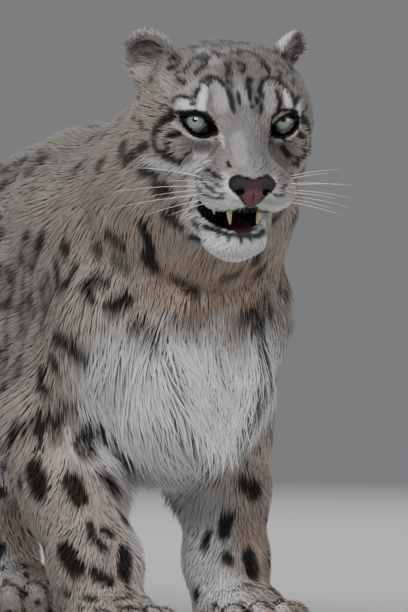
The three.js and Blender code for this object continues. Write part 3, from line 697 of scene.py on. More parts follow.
# Marks that the photo shows, as strokes: a width, then x and y of each pixel of the 408 by 612 photo that
# the stroke runs through. Each is cast from the camera onto the coat. The pale ones lie under the black
# ones.
HEAD_STROKES = [
    (7, 171, 57, 174, 56), (6, 168, 66, 171, 66), (5, 183, 69, 190, 60), (9, 200, 53, 206, 57),
    (5, 195, 71, 204, 64), (4, 174, 73, 177, 71), (4, 176, 78, 178, 79), (4, 181, 82, 184, 80),
    (4, 201, 81, 208, 75, 216, 77, 224, 84), (5, 212, 51, 221, 53), (5, 232, 51, 240, 51),
    (5, 249, 50, 258, 54), (5, 264, 62, 268, 66), (4, 238, 62, 245, 64), (4, 240, 70, 244, 69),
    (4, 249, 78, 251, 79), (3.5, 227, 80, 230, 82), (4, 263, 81, 270, 76, 279, 79, 289, 87),
    (3.5, 262, 83, 259, 92), (3.5, 250, 88, 250, 99), (4, 262, 92, 263, 96), (4, 257, 99, 258, 101),
    (3, 252, 105, 253, 107), (3, 262, 104, 262, 111), (3, 238, 92, 240, 103), (3.5, 233, 109, 234, 111),
    (4, 227, 89, 231, 97, 232, 107), (4, 277, 91, 281, 101, 279, 110), (6, 293, 92, 297, 100),
    (5, 198, 88, 195, 95), (4, 170, 101, 173, 96, 180, 94, 188, 97, 193, 96), (4.5, 191, 103, 193, 103),
    (4, 159, 107, 161, 106), (5, 167, 110, 168, 112), (4, 137, 121, 139, 129),
    (8, 168, 116, 159, 121, 153, 129, 151, 139, 154, 150), (8, 161, 155, 167, 158), (6, 171, 160, 179, 165),
    (3, 184, 156, 190, 154), (5, 165, 136, 178, 134), (5, 164, 143, 167, 149), (8, 135, 150, 143, 146),
    (8, 120, 161, 130, 154), (10, 138, 173, 150, 178), (14, 156, 192, 163, 192), (6, 150, 187, 155, 189),
    (8, 171, 210, 176, 210), (12, 164, 218, 175, 226), (8, 192, 222, 196, 227), (3, 272, 138, 273, 146),
    (4, 205, 169, 208, 170), (4, 212, 172, 215, 175), (3, 219, 176, 221, 178), (3, 226, 160, 228, 166),
    (2.5, 193, 182, 201, 193, 212, 198, 222, 199), (2.5, 199, 177, 205, 186, 215, 193, 223, 195),
    (2.5, 209, 187, 213, 189), (3, 216, 184, 218, 185), (2.5, 276, 186, 279, 183),
    (2.5, 283, 190, 287, 184), (2.5, 277, 196, 285, 195),
    (5, 203, 226, 214, 229, 226, 234, 243, 236, 258, 236, 266, 230), (3, 226, 236, 229, 241),
    (3, 241, 236, 242, 243), (3, 251, 235, 252, 241), (3, 216, 230, 218, 237), (3, 249, 199, 249, 206),
    (5, 284, 150, 291, 158), (4, 298, 160, 300, 168), (4, 290, 175, 295, 180),
]
EYE_STROKES = [
    (4.5, 172, 112, 183, 113, 195, 112, 205, 114, 213, 123), (2.5, 176, 119, 186, 127, 196, 132, 207, 134),
    (4.5, 271, 131, 274, 118, 281, 111, 292, 110, 299, 114, 302, 121),
    (2.5, 271, 137, 280, 134, 290, 130, 299, 123),
]
PALE_STROKES = [
    (12, 174, 106, 188, 106), (4.5, 170, 123, 182, 133, 197, 140, 208, 142), (6, 219, 133, 221, 145),
    (4.5, 303, 127, 292, 137, 278, 142), (6, 224, 174, 227, 187, 238, 199),
    (6, 276, 178, 272, 191, 258, 203), (8, 206, 205, 240, 207), (8, 256, 207, 268, 209),
    (10, 140, 162, 175, 171, 200, 172), (10, 190, 185, 192, 212), (9, 196, 160, 206, 163),
    (6, 286, 92, 290, 106), (7, 300, 106, 303, 116), (8, 203, 88, 201, 108),
]
PEARL_STROKES = [
    (14, 218, 86, 221, 106), (13, 269, 88, 271, 106), (12, 178, 88, 192, 82), (16, 236, 138, 240, 158),
    (10, 200, 48, 214, 60), (10, 240, 90, 245, 100), (12, 160, 60, 166, 90), (16, 170, 180, 180, 205),
]
BODY_STROKES = [
    (9, 40, 232, 38, 244), (12, 60, 245, 62, 250), (9, 91, 247, 94, 252), (10, 104, 235, 120, 246),
    (10, 140, 228, 150, 252), (14, 146, 259, 153, 270), (5, 108, 260, 124, 271),
    (9, 52, 262, 55, 286, 63, 287), (7, 71, 267, 65, 280), (9, 80, 285, 91, 278, 103, 284),
    (9, 84, 292, 90, 299), (15, 110, 307, 123, 303), (8, 172, 281, 187, 290, 198, 299),
    (8, 227, 284, 241, 276), (9, 133, 330, 146, 337, 156, 342), (7, 41, 308, 38, 326),
    (13, 53, 339, 60, 342), (14, 68, 350, 82, 362), (9, 49, 359, 55, 371), (8, 38, 368, 37, 388, 45, 393),
    (9, 64, 409, 80, 410), (8, 262, 250, 258, 266), (10, 270, 318, 262, 334), (13, 38, 428, 39, 436),
    (12, 56, 425, 54, 434), (8, 40, 419, 54, 419), (16, 85, 445, 96, 441), (8, 14, 425, 10, 445),
    (20, 33, 467, 38, 489), (17, 71, 480, 79, 498), (12, 108, 475, 120, 492), (8, 90, 522, 92, 539),
    (8, 98, 539, 105, 549), (9, 105, 528, 112, 533), (17, 62, 551, 75, 569), (15, 127, 553, 127, 574),
    (10, 94, 574, 110, 581), (6, 62, 593, 65, 595), (6, 82, 596, 94, 597), (5, 115, 598, 131, 594),
    (7, 222, 456, 250, 447), (11, 188, 489, 212, 474), (18, 248, 483, 256, 491), (12, 228, 517, 223, 533),
    (8, 208, 533, 202, 547), (11, 226, 558, 229, 560), (14, 250, 555, 255, 572), (4, 22, 262, 17, 310),
    (4, 28, 285, 24, 312), (4, 12, 268, 8, 300), (5, 4, 318, 3, 350), (5, 20, 340, 17, 372),
]
FAINT_STROKES = [
    (8, 139, 367, 156, 375), (5, 227, 369, 245, 380), (6, 118, 266, 126, 275),
]
PIXELS_PER_RADIAN = 6290.0
FRAME_MIDDLE = (204.0, 306.0)


def pixels_of(p):
    """Where places lie in the photo, and how far from the camera."""
    d = p - CAMERA_PLACE
    depth = -(d @ camera_back)
    return (FRAME_MIDDLE[0] + PIXELS_PER_RADIAN * (d @ camera_right) / depth,
            FRAME_MIDDLE[1] - PIXELS_PER_RADIAN * d[:, 2] / depth, depth)


def cast(pixels):
    """Places on the coat's outside that these pixels of the photo show, and whether each hits the coat."""
    pixels = np.asarray(pixels, float)
    right = (pixels[:, 0] - FRAME_MIDDLE[0]) / PIXELS_PER_RADIAN
    up = (FRAME_MIDDLE[1] - pixels[:, 1]) / PIXELS_PER_RADIAN
    way = right[:, None] * camera_right + up[:, None] * np.array([0, 0, 1.0]) - camera_back
    travel = np.full(len(pixels), CAMERA_DISTANCE - 420.0)
    gap = np.full(len(pixels), 1e3)
    for _ in range(70):
        going = (gap > 0.4) & (travel < CAMERA_DISTANCE + 1500)
        if not going.any():
            break
        gap[going] = body(CAMERA_PLACE + travel[going, None] * way[going], 0)
        travel[going] += np.minimum(0.8 * gap[going], 60)
    return CAMERA_PLACE + travel[:, None] * way, gap < 1.5


def strokes_on_coat(strokes, widen=1.0):
    """Strokes as short lines between places on the coat, each with its half width in millimetres."""
    lines = []
    for width, *numbers in strokes:
        pixels = np.reshape(numbers, (-1, 2))
        dense = [np.linspace(a, b, 3)[:-1] for a, b in zip(pixels, pixels[1:])]
        places, hit = cast(np.concatenate(dense + [pixels[-1:]]))
        scale = CAMERA_DISTANCE / PIXELS_PER_RADIAN
        for a, b, good in zip(places, places[1:], hit[1:] & hit[:-1]):
            if good and np.linalg.norm(b - a) < 45:
                lines.append((a, b, width * scale * widen / 2))
    return lines


def mirrored_on_head(lines):
    """The same strokes on the other side of the face, for the side that the camera doesn't see."""
    def flip(place):
        return from_head(to_head(place) * (-1, 1, 1))
    return [(flip(a), flip(b), half) for a, b, half in lines]


def far_side(lines):
    """Only the strokes that lie on the animal's left half, which the photo hides."""
    return [line for line in lines if to_head(line[0])[0] > 46 and to_head(line[0])[1] > -70]


black_lines = strokes_on_coat(HEAD_STROKES, 1.3)
black_lines += far_side(mirrored_on_head(black_lines))
eye_lines = strokes_on_coat(EYE_STROKES)
pale_lines = strokes_on_coat(PALE_STROKES)
pearl_lines = strokes_on_coat(PEARL_STROKES)
body_lines = strokes_on_coat(BODY_STROKES, 1.3)
faint_lines = strokes_on_coat(FAINT_STROKES)


DEEP_COAT, FACE_COAT = 45.0, 9.0


def stroke_strength(p, n, lines, edge, uneven=0.0, deepest=DEEP_COAT):
    """How strongly a set of strokes marks each place, from 0 to 1, whatever its depth in the coat."""
    order = np.argsort(p[:, 1], kind="stable")
    q, out_of_skin = p[order], n[order]
    strength = np.zeros(len(p))
    noise = uneven * (ripple(q, 9, 1) + 0.6 * ripple(q, 4, 2))
    for a, b, half in lines:
        reach = half * (1 + 2 * uneven) + edge + deepest
        first, last = np.searchsorted(q[:, 1], (min(a[1], b[1]) - reach, max(a[1], b[1]) + reach))
        index = first + np.nonzero(np.abs(q[first:last] - (a + b) / 2).max(axis=1) < reach + 20)[0]
        offset, up = q[index] - a, out_of_skin[index]
        height = (offset * up).sum(axis=1)
        offset = offset - height[:, None] * up
        along = (b - a) - ((b - a) * up).sum(axis=1)[:, None] * up
        t = np.clip((offset * along).sum(axis=1) / np.maximum((along * along).sum(axis=1), 1e-6), 0, 1)
        gap = np.linalg.norm(offset - t[:, None] * along, axis=1) - half * (1 + noise[index])
        gap += np.maximum(np.abs(height) - deepest, 0)
        strength[index] = np.maximum(strength[index], 1 - smooth(gap, -edge, edge))
    out = np.empty(len(p))
    out[order] = strength
    return out


# Marks on all that the photo doesn't show, scattered as on a real animal: rosettes on the trunk and
# thighs, spots on neck and legs, dots on crown and paws, broken rings on the tail. Kind: spacing, radius,
# whether open in the middle.
MARKS = {
    "flank": (64, 25, True), "haunch": (60, 23, True), "shoulder": (56, 20, True), "neck": (46, 11, False),
    "foreleg": (36, 9, False), "hindleg": (36, 9.5, False), "paw": (17, 4.2, False), "tail": (54, 21, True),
    "crown": (17, 4.6, False), "belly": (70, 15, False),
}
FACING_CAMERA = 0.42


def scattered_marks():
    """Centres of marks, no two closer than their kind's spacing, on skin that the photo doesn't show well."""
    order = rng.permutation(len(skin_points))
    zone_values = zones(skin_points, skin_shares)
    kinds = list(MARKS)
    spaces = np.array([MARKS[kind][0] for kind in kinds], float)
    weights = np.stack([zone_values[kind] for kind in kinds])
    best = weights.argmax(axis=0)
    x, y, _ = pixels_of(skin_points)
    faces_camera = skin_normals @ camera_back > FACING_CAMERA
    shown = faces_camera & (x > 30) & (x < 400) & (y < 606) & (skin_points[:, 1] < 240)
    usable = (weights.max(axis=0) > 0.4) & ~shown
    usable &= (skin_points[:, 2] > 14) & ~((best == kinds.index("crown")) & (to_head(skin_points)[:, 1] < 12))
    kept, radii, out = np.empty((0, 3)), np.empty(0), []
    for i in order[usable[order]]:
        space = spaces[best[i]]
        place = skin_points[i]
        if len(kept) and (((kept - place) ** 2).sum(axis=1) < ((radii + space) / 2) ** 2).any():
            continue
        kept = np.vstack([kept, place])
        radii = np.append(radii, space)
        phase, size = rng.uniform(0, 2 * np.pi, 3), rng.uniform(0.85, 1.15)
        out.append((place, skin_normals[i], kinds[best[i]], phase, size))
    in_head = [to_head(mark[0]) for mark in out]
    return [mark for mark, q in zip(out, in_head) if q[1] > 12 or q[2] < -75]


def mark_strength(p, marks):
    """How black the scattered marks make each place, and how much of each place is inside an open rosette."""
    order = np.argsort(p[:, 1], kind="stable")
    q = p[order]
    black, inner = np.zeros(len(p)), np.zeros(len(p))
    noise = 0.16 * ripple(q, 14, 3) + 0.10 * ripple(q, 6, 0)
    for place, up, kind, phase, size in marks:
        radius, is_open = MARKS[kind][1] * size, MARKS[kind][2]
        first, last = np.searchsorted(q[:, 1], (place[1] - 1.9 * radius, place[1] + 1.9 * radius))
        offset = q[first:last] - place
        near = np.abs(offset).max(axis=1) < 1.9 * radius
        flat = offset[near] - (offset[near] @ up)[:, None] * up
        east = np.cross(up, (0.1, 0.3, 1.0))
        east /= np.linalg.norm(east)
        a, b = flat @ east / 1.15, flat @ np.cross(up, east)
        angle = np.arctan2(b, a)
        r = np.hypot(a, b) * (1 + 0.10 * np.sin(2 * angle + phase[0]))
        wobble = noise[first:last][near] * radius
        if is_open:
            lobes = 4 if phase[1] < 4 else 5
            half = radius * (0.15 + 0.17 * np.sin(lobes * angle + phase[1])
                             + 0.05 * np.sin(2 * angle + phase[2]))
            gap = np.abs(r - radius * 0.78) - half + 0.6 * wobble
            centre = 0.5 * (1 - smooth(r, 0.5 * radius, 0.9 * radius))
        else:
            gap = r - radius * (0.86 + 0.1 * np.sin(3 * angle + phase[1])) + wobble
            centre = np.zeros(len(r))
        soft = min(3.0, 0.25 * radius)
        strong = 1 - smooth(gap, -soft, soft)
        pale = 0.45 if kind == "belly" else 1.0
        index = np.arange(first, last)[near]
        black[index] = np.maximum(black[index], pale * strong)
        inner[index] = np.maximum(inner[index], centre)
    out_black, out_inner = np.empty(len(p)), np.empty(len(p))
    out_black[order], out_inner[order] = black, inner
    return out_black, out_inner


def marked_colour(p, n, w):
    """The coat's colour at places p with outward directions n, where the parts of the body have shares w."""
    q = to_head(p)
    layers = []

    layers.append((0.9 * stroke_strength(p, n, pale_lines, 2.0, 0.1, FACE_COAT), WHITE))
    layers.append((0.6 * stroke_strength(p, n, pearl_lines, 3.0, 0.1), PEARL))
    black, inner = mark_strength(p, marks)
    layers.append((inner, CENTRE))
    layers.append((0.96 * black, BLACK))
    layers.append((0.55 * stroke_strength(p, n, faint_lines, 3.0, 0.2), BLACK))
    layers.append((0.97 * stroke_strength(p, n, body_lines, 2.2, 0.14), BLACK))
    layers.append((0.95 * stroke_strength(p, n, black_lines, 1.3, 0.14, FACE_COAT), BLACK))
    layers.append((stroke_strength(p, n, eye_lines, 1.0, 0.0, FACE_COAT), BLACK))
    for name, (side, place, lean, outward) in EARS.items():
        local = (q - np.array([side * place[0], place[1], place[2]])) @ ear_axes(side, lean, outward)
        off_ear = np.hypot(local[:, 0] / EAR_SIZE[0], (local[:, 2] - 12) / 26)
        on_ear = smooth(local[:, 2], -2, 8) * (1 - smooth(off_ear, 1.4, 1.7)) * (np.abs(local[:, 1]) < 22)
        rear = smooth(local[:, 1], 0, 5)
        edge = smooth(off_ear, 0.72, 0.95)
        layers.append((on_ear * rear * (1 - smooth(local[:, 2], 8, 16)), SLATE * 0.35))
        layers.append((on_ear * rear * smooth(local[:, 2], 12, 20) * 0.9, WHITE))
        layers.append((on_ear * (1 - rear) * (1 - edge) * 0.75, EAR_INSIDE))
    for side in (1, -1):
        gap, above, forward = lid_gap(side, q)
        in_front = smooth(forward, 2, 6) * (1 - smooth(forward, EYE_RADIUS + 6, EYE_RADIUS + 9))
        layers.append(((1 - smooth(gap - 1.2 * (above > 0), 2.2, 3.8)) * in_front, BLACK))
    layers.append((1 - smooth(nose_pad(q), 0.8, 2.2), BLACK))
    lip_width = 4.0 + 2.0 * ripple(p, 7, 1)
    layers.append((1 - smooth(mouth(q), 0.3 * lip_width, lip_width), LIP))
    # Deeper in the mouth the lining takes the gum colour at 0.6 of its strength, as painted shade inside the
    # mouth.
    layers.append((smooth(-mouth(q), 1.5, 5), GUM_IN_PAINTED_SHADE * 0.6))
    return layered(ground_colour(p, n, w), layers)


def paint(made, colours):
    """Stores a colour at each vertex, for the material to read."""
    layer = made.data.color_attributes.new("coat colour", "FLOAT_COLOR", "POINT")
    with_alpha = np.column_stack([colours, np.ones(len(colours))])
    layer.data.foreach_set("color", with_alpha.astype(np.float32).ravel())


# The coat: some 130,000 tufts, each a closed three-sided blade that grows from the skin, leans along the
# lie of the fur and ends at the outside of the coat. They are finest on the face and longest on chest,
# belly and tail.
TUFTS = {  # tufts a square centimetre, length and width in mm
    "face": (33, 7, 0.9),
    "crown": (27, 9.5, 1.05),
    "neck": (16, 21, 1.3),
    "chest": (10, 60, 1.8),
    "shoulder": (14, 20, 1.4),
    "flank": (6.8, 27, 2.1),
    "belly": (4.2, 56, 3.0),
    "haunch": (6.2, 28, 2.2),
    "foreleg": (18, 12.5, 1.2),
    "hindleg": (8.4, 15, 1.9),
    "paw": (15, 9, 1.3),
    "tail": (5.2, 46, 2.8),
}


def zones(p, w):
    """Splits each part's share among the kinds of coat on it."""
    q = to_head(p)
    x, y, z = p.T
    head_x, head_y, head_z = q.T
    back = smooth(head_y, -45, -5)
    front = smooth(-y, -40, 20) * smooth(-z, -345, -300) * (1 - smooth(np.abs(x), 92, 118))
    under = smooth(-z, -260, -210) * (1 - front)
    fore = (1 - smooth(y, 130, 200)) * (1 - front) * (1 - under)
    rear = smooth(y, 460, 560) * (1 - under)
    flank = np.maximum(1 - front - under - fore - rear, 0)
    out = {"face": w["head"] * (1 - back), "crown": w["head"] * back,
           "neck": w["neck"] * (1 - front), "chest": w["neck"] * front + w["trunk"] * front,
           "shoulder": w["trunk"] * fore, "belly": w["trunk"] * under, "haunch": w["trunk"] * rear,
           "flank": w["trunk"] * flank, "tail": w["tail"]}
    for kind in ("fore", "hind"):
        out[f"{kind}leg"] = sum(w[n] for n in LEGS if n.startswith(kind))
    out["paw"] = sum(w[n.replace("leg", "paw")] for n in LEGS)
    total = sum(out.values())
    return {name: value / np.maximum(total, 1e-6) for name, value in out.items()}


skin_shares = shares(skin_points)
marks = scattered_marks()

# Hide is matt, with a fine grain.
GRAIN_PER_METRE = 1 / 0.0016
hide, tree, shader = coloured_material("hide under short fur", 0.8, Specular_IOR_Level=0.12)
grain = node(tree, "ShaderNodeTexNoise", inputs={"Scale": GRAIN_PER_METRE, "Detail": 2.0})
add_bumps(tree, shader, grain.outputs["Fac"], 0.35, 0.0006)

skin = mesh_object("skin", skin_points, skin_faces)
paint(skin, marked_colour(skin_points, skin_normals, skin_shares))
skin.data.materials.append(hide)
FLESH = ["head", "lower_jaw", "neck", "torso", "tail_root", "tail_upper", "tail_lower", "tail_tip"]
for part in ("ear", "forepaw", "forearm", "shoulder", "hindpaw", "shank", "thigh"):
    FLESH += [f"{part}_left", f"{part}_right"]
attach(skin, "root")
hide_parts(*FLESH)


def pick(zone_shares, column):
    """A value of TUFTS at each place, mixed by the zones that share it."""
    return sum(zone_shares[name] * TUFTS[name][column] for name in TUFTS)


CREASE_AT = 6.0


def lie_of_fur(p, n, w):
    """The way the fur lies at each place: back over the head, down the legs and chest, out along the tail."""
    q = to_head(p)
    x, y, z = p.T
    head_x, head_y, head_z = q.T
    away = q - np.array([0, -118.0, -30.0])
    away /= np.maximum(np.linalg.norm(away, axis=1), 1e-6)[:, None]
    cheek = smooth(np.abs(head_x), 25, 60) * smooth(-head_z, -10, 40)
    over_head = (away + cheek[:, None] * np.array([0, 0.1, -0.5])) @ HEAD_AXES.T
    flow = w["head"][:, None] * over_head
    side = np.sign(x)
    sides = np.array([0, 1.0, -0.45])
    crease = x - CREASE_AT
    inward = -np.sign(crease) * smooth(np.abs(crease), 4, 50) * smooth(-z, -350, -250)
    down = np.column_stack([0.2 * side * smooth(np.abs(x), 10, 60) + 0.75 * inward, np.full(len(p), 0.12),
                            np.full(len(p), -1.0)])
    front = smooth(-y, -60, 10) * smooth(-z, -460, -400)
    flow += (w["trunk"] + w["neck"])[:, None] * (sides * (1 - front[:, None]) + down * front[:, None])
    line = np.array([joint[:3] for joint in TAIL_PATH], float)
    nearest = np.argmin(((p[:, None, :] - (line[:-1] + line[1:])[None] / 2) ** 2).sum(axis=2), axis=1)
    along = (line[1:] - line[:-1]) / np.linalg.norm(line[1:] - line[:-1], axis=1)[:, None]
    flow += w["tail"][:, None] * along[nearest]
    for name in LEGS:
        flow += w[name][:, None] * np.array([0, 0.25, -1.0])
        flow += w[name.replace("leg", "paw")][:, None] * np.array([0, -0.8, -0.5])
    for side in (1, -1):
        from_eye = q - EYE_CENTRE * (side, 1, 1)
        gap = np.linalg.norm(from_eye, axis=1)
        around = (w["head"] * (1 - smooth(gap, 20, 40)))[:, None]
        away_from_eye = from_eye / np.maximum(gap, 1e-6)[:, None] @ HEAD_AXES.T
        flow = flow * (1 - 0.85 * around) + away_from_eye * around
    flow = flow - (flow * n).sum(axis=1)[:, None] * n
    return flow / np.maximum(np.linalg.norm(flow, axis=1), 1e-6)[:, None]


def scattered_roots():
    """Places on the skin, as close as each zone asks, with the outward direction there."""
    tri = np.concatenate([skin_faces[:, [0, 1, 2]], skin_faces[:, [0, 2, 3]]])
    a, b, c = (skin_points[tri[:, k]] for k in range(3))
    area = np.linalg.norm(np.cross(b - a, c - a), axis=1) / 200
    w = {name: value[tri].mean(axis=1) for name, value in skin_shares.items()}
    density = pick(zones((a + b + c) / 3, w), 0)
    total = np.cumsum(area * density)
    count = int(total[-1])
    chosen = np.searchsorted(total, (np.arange(count) + rng.uniform(0, 1, count)) * total[-1] / count)
    chosen = np.minimum(chosen, len(tri) - 1)
    u, v = rng.uniform(0, 1, (2, count))
    over = u + v > 1
    u[over], v[over] = 1 - u[over], 1 - v[over]
    weights = np.stack([1 - u - v, u, v], axis=1)[:, :, None]
    return (skin_points[tri[chosen]] * weights).sum(axis=1), (skin_normals[tri[chosen]] * weights).sum(axis=1)


roots, ups = scattered_roots()
ups /= np.maximum(np.linalg.norm(ups, axis=1), 1e-9)[:, None]
rise = -in_slabs(lambda p: body(p, 0), roots)
head_roots = to_head(roots)
bare = (mouth(head_roots) < 2.0) | (roots[:, 2] < 6)
for side in (1, -1):
    to_eye = np.linalg.norm(head_roots - EYE_CENTRE * (side, 1, 1), axis=1)
    bare |= (to_eye < EYE_RADIUS + 9) & (lid_opening(side, head_roots) < 2.2)
bare |= nose_pad(head_roots) < 1.2
roots, ups, rise = roots[~bare], ups[~bare], rise[~bare]
root_shares = shares(roots)
root_zones = zones(roots, root_shares)
flow = lie_of_fur(roots, ups, root_shares)
across = np.cross(flow, ups)
on_face = root_zones["face"]
wander = 1 - 0.5 * on_face + 0.9 * root_zones["chest"]
wander = wander * (0.14 * ripple(roots, 55, 0) + 0.10 * ripple(roots, 13, 2))
wander += 0.08 * rng.normal(size=len(roots))
flow = flow * np.cos(wander)[:, None] + across * np.sin(wander)[:, None]
across = np.cross(flow, ups)
eye_gap = np.min([np.linalg.norm(to_head(roots) - EYE_CENTRE * (s, 1, 1), axis=1) for s in (1, -1)], axis=0)
lengths = pick(root_zones, 1) * rng.uniform(0.75, 1.2, len(roots)) * (0.4 + 0.6 * smooth(eye_gap, 18, 36))
widths = pick(root_zones, 2) * rng.uniform(0.8, 1.2, len(roots))
rise = np.clip(rise, 0.8, 60) * rng.uniform(0.82, 1.0, len(roots)) + 0.3
NEAR_ROOT, NEAR_TIP = 0.4, 0.9
own_tone = rng.uniform(0.88, 1.12, len(roots))[:, None]
colours_along = []
for share, lift in ((NEAR_ROOT, 0.55), (NEAR_TIP, 0.95)):
    seen = roots + flow * (share * lengths)[:, None] + ups * (lift * rise)[:, None]
    colours_along.append(marked_colour(seen, ups, shares(seen)) * own_tone)

SHORT = [(-0.04, -0.10, 0.7), (0.45, 0.62, 1.0)]  # along, up, width: at the root and at the bend
LONG = [(-0.03, -0.06, 0.6), (0.3, 0.52, 1.0), (0.68, 0.9, 0.75)]
# Painted shade along each tuft: darker towards the root, deep in the coat, and a little paler at the tip.
PAINTED_DEPTH_SHADE = {2: (0.82, 0.97, 1.06), 3: (0.75, 0.92, 1.0, 1.06)}  # darker at the root, paler at the tip
PATCH = 0.003
OWN_SHARE = 0.18
OVER_FLOOR = 0.4


def soft_normals(made, vertices, faces, outward):
    """Lets tufts take light almost as the body under them does, as thousands of fine hairs would."""
    a, b, c = (vertices[faces[:, k]] for k in range(3))
    face_normals = np.cross(b - a, c - a)
    own = np.zeros_like(vertices)
    for k in range(3):
        for axis in range(3):
            own[:, axis] += np.bincount(faces[:, k], face_normals[:, axis], len(vertices))
    own /= np.maximum(np.linalg.norm(own, axis=1), 1e-9)[:, None]
    normals = own * OWN_SHARE + outward * (1 - OWN_SHARE)
    normals /= np.maximum(np.linalg.norm(normals, axis=1), 1e-9)[:, None]
    layer = made.data.attributes.new("custom_normal", "FLOAT_VECTOR", "POINT")
    layer.data.foreach_set("vector", normals.astype(np.float32).ravel())


def tuft_mesh(name, chosen, rings, uv):
    """All tufts of one zone as one mesh, each closed, with its colour and its patch of the unwrapped skin."""
    count, levels = len(chosen), len(rings)
    root, up, lie, side = roots[chosen], ups[chosen], flow[chosen], across[chosen]
    long, wide, high = lengths[chosen][:, None], widths[chosen][:, None], rise[chosen][:, None]
    rows = []
    for along, lift, share in rings:
        middle = root + lie * long * along + up * (high * lift)
        rows += [middle - side * wide * share * 0.5, middle + side * wide * share * 0.5,
                 middle + up * wide * share * 0.32]
    rows.append(root + lie * long + up * high * 0.96)
    size = 3 * levels + 1
    vertices = np.stack(rows, axis=1).reshape(-1, 3)
    vertices[:, 2] = np.maximum(vertices[:, 2], OVER_FLOOR)
    local = [(0, 1, 2)]
    for k in range(levels - 1):
        for j in range(3):
            a, b = 3 * k + j, 3 * k + (j + 1) % 3
            local += [(a, a + 3, b), (b, a + 3, b + 3)]
    last = 3 * (levels - 1)
    local += [(last + j, size - 1, last + (j + 1) % 3) for j in range(3)]
    faces = (np.array(local)[None] + size * np.arange(count)[:, None, None]).reshape(-1, 3)
    made = mesh_object(name, vertices, faces)
    soft_normals(made, vertices, faces, np.repeat(up + 0.25 * lie, size, axis=0))
    # Each ring's colour is scaled by the painted shade along the tuft, darkest at the root.
    depth_shade = np.array(np.repeat(PAINTED_DEPTH_SHADE[levels][:-1], 3).tolist() + [PAINTED_DEPTH_SHADE[levels][-1]])
    places = np.array(np.repeat([ring[0] for ring in rings], 3).tolist() + [1.0])
    to_tip = np.clip((places - NEAR_ROOT) / (NEAR_TIP - NEAR_ROOT), 0, 1)[None, :, None]
    root_colour, tip_colour = colours_along[0][chosen][:, None, :], colours_along[1][chosen][:, None, :]
    paint(made, ((root_colour + (tip_colour - root_colour) * to_tip) * depth_shade[None, :, None]).reshape(-1, 3))
    offsets = [(j % 3 * 0.5, k / levels) for k in range(levels) for j in range(3)] + [(0.5, 1.0)]
    offsets = np.array(offsets) * PATCH
    at = (uv[chosen][:, None, :] + offsets[None]).reshape(-1, 2)
    layer = made.data.uv_layers.new(name="OFBake")
    layer.data.foreach_set("uv", at[faces.ravel()].astype(np.float32).ravel())
    made.data.materials.append(fur)
    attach(made, "root")


# Fur is dry keratin: matt along each hair, with a faint silky sheen.
fur, _, _ = coloured_material("snow leopard fur", 0.62, Sheen_Weight=0.05, Sheen_Roughness=0.45,
                              Specular_IOR_Level=0.2)

# Where each zone's tufts lie on an unwrap of the skin: round an axis and along it.
UNWRAP_AXES = {
    "head": (from_head([0, -120, -30]), from_head([0, 90, 10])),
    "body": (np.array([0, -110, 320.0]), np.array([0, 745, 340.0])),
    "tail": (np.array([0, 716, 414.0]), np.array([38, 1322, 250.0])),
}
for name, (side, top, joints, foot) in LEGS.items():
    knee = joints[0]
    UNWRAP_AXES[name] = (np.array([side * foot[0], foot[1], 0.0]), np.array([side * knee[0], *knee[1:3]]))


def unwrap(p, part):
    start, stop = UNWRAP_AXES[part]
    axis = (stop - start) / np.linalg.norm(stop - start)
    first = np.cross(axis, (0.3, 0.2, 1.0) if abs(axis[2]) < 0.9 else (0, 1.0, 0.1))
    first /= np.linalg.norm(first)
    second = np.cross(axis, first)
    offset = p - start
    angle = np.arctan2(offset @ second, offset @ first) / (2 * np.pi) + 0.5
    along = offset @ axis
    along = (along - along.min()) / max(np.ptp(along), 1e-6)
    return np.column_stack([angle, along]) * (0.99 - PATCH) + 0.005


names = list(TUFTS)
zone = np.argmax(np.stack([root_zones[name] for name in names]), axis=0)
leg_names = list(LEGS)
leg = np.argmax(np.stack([root_shares[n] + root_shares[n.replace("leg", "paw")] for n in leg_names]), axis=0)


def coat_piece(title, members, rings, part):
    uv = np.zeros((len(roots), 2))
    uv[members] = unwrap(roots[members], part)
    tuft_mesh(title, members, rings, uv)


for kind, part, rings in (("face", "head", SHORT), ("crown", "head", SHORT), ("neck", "body", SHORT),
                          ("chest", "body", LONG), ("shoulder", "body", SHORT), ("flank", "body", SHORT),
                          ("belly", "body", LONG), ("haunch", "body", SHORT), ("tail", "tail", LONG)):
    coat_piece(f"coat_{kind}", np.nonzero(zone == names.index(kind))[0], rings, part)
on_leg = np.isin(zone, [names.index(kind) for kind in ("foreleg", "hindleg", "paw")])
for k, name in enumerate(leg_names):
    coat_piece(f"coat_{name}", np.nonzero(on_leg & (leg == k))[0], SHORT, name)


# The eyes: wet balls with a clear bulging front, a grey-green iris and a small round pupil. They look at
# the camera. Each is one closed ball with rings close together across the iris, coloured ring by ring.
IRIS_RADIUS, PUPIL_RADIUS = 8.8, 2.1
CORNEA_BULGE = 1.3
IRIS_RINGS, WHITE_RINGS, EYE_SEGMENTS = 56, 34, 96
POLE = 0.01  # the angle at which the first and last rings close
IRIS_PIXELS = {"eye_left": (1, (283, 120)), "eye_right": (-1, (195, 120))}
PUPIL = linear("#050506")
IRIS_INNER, IRIS_OUTER = linear("#6f745f"), linear("#5c6a6b")
IRIS_RIM, EYE_DARK = linear("#20282a"), linear("#0d0a0a")

wet_eye, _, _ = coloured_material("wet eye", 0.04, Coat_Weight=1.0, Coat_Roughness=0.02)


def faces_between(points):
    """Faces between rings of points."""
    rings, around = points.shape[:2]
    i, j = np.meshgrid(np.arange(rings - 1), np.arange(around), indexing="ij")
    a, b = (i * around + j).ravel(), (i * around + (j + 1) % around).ravel()
    return np.stack([a, b, b + around, a + around], axis=1)


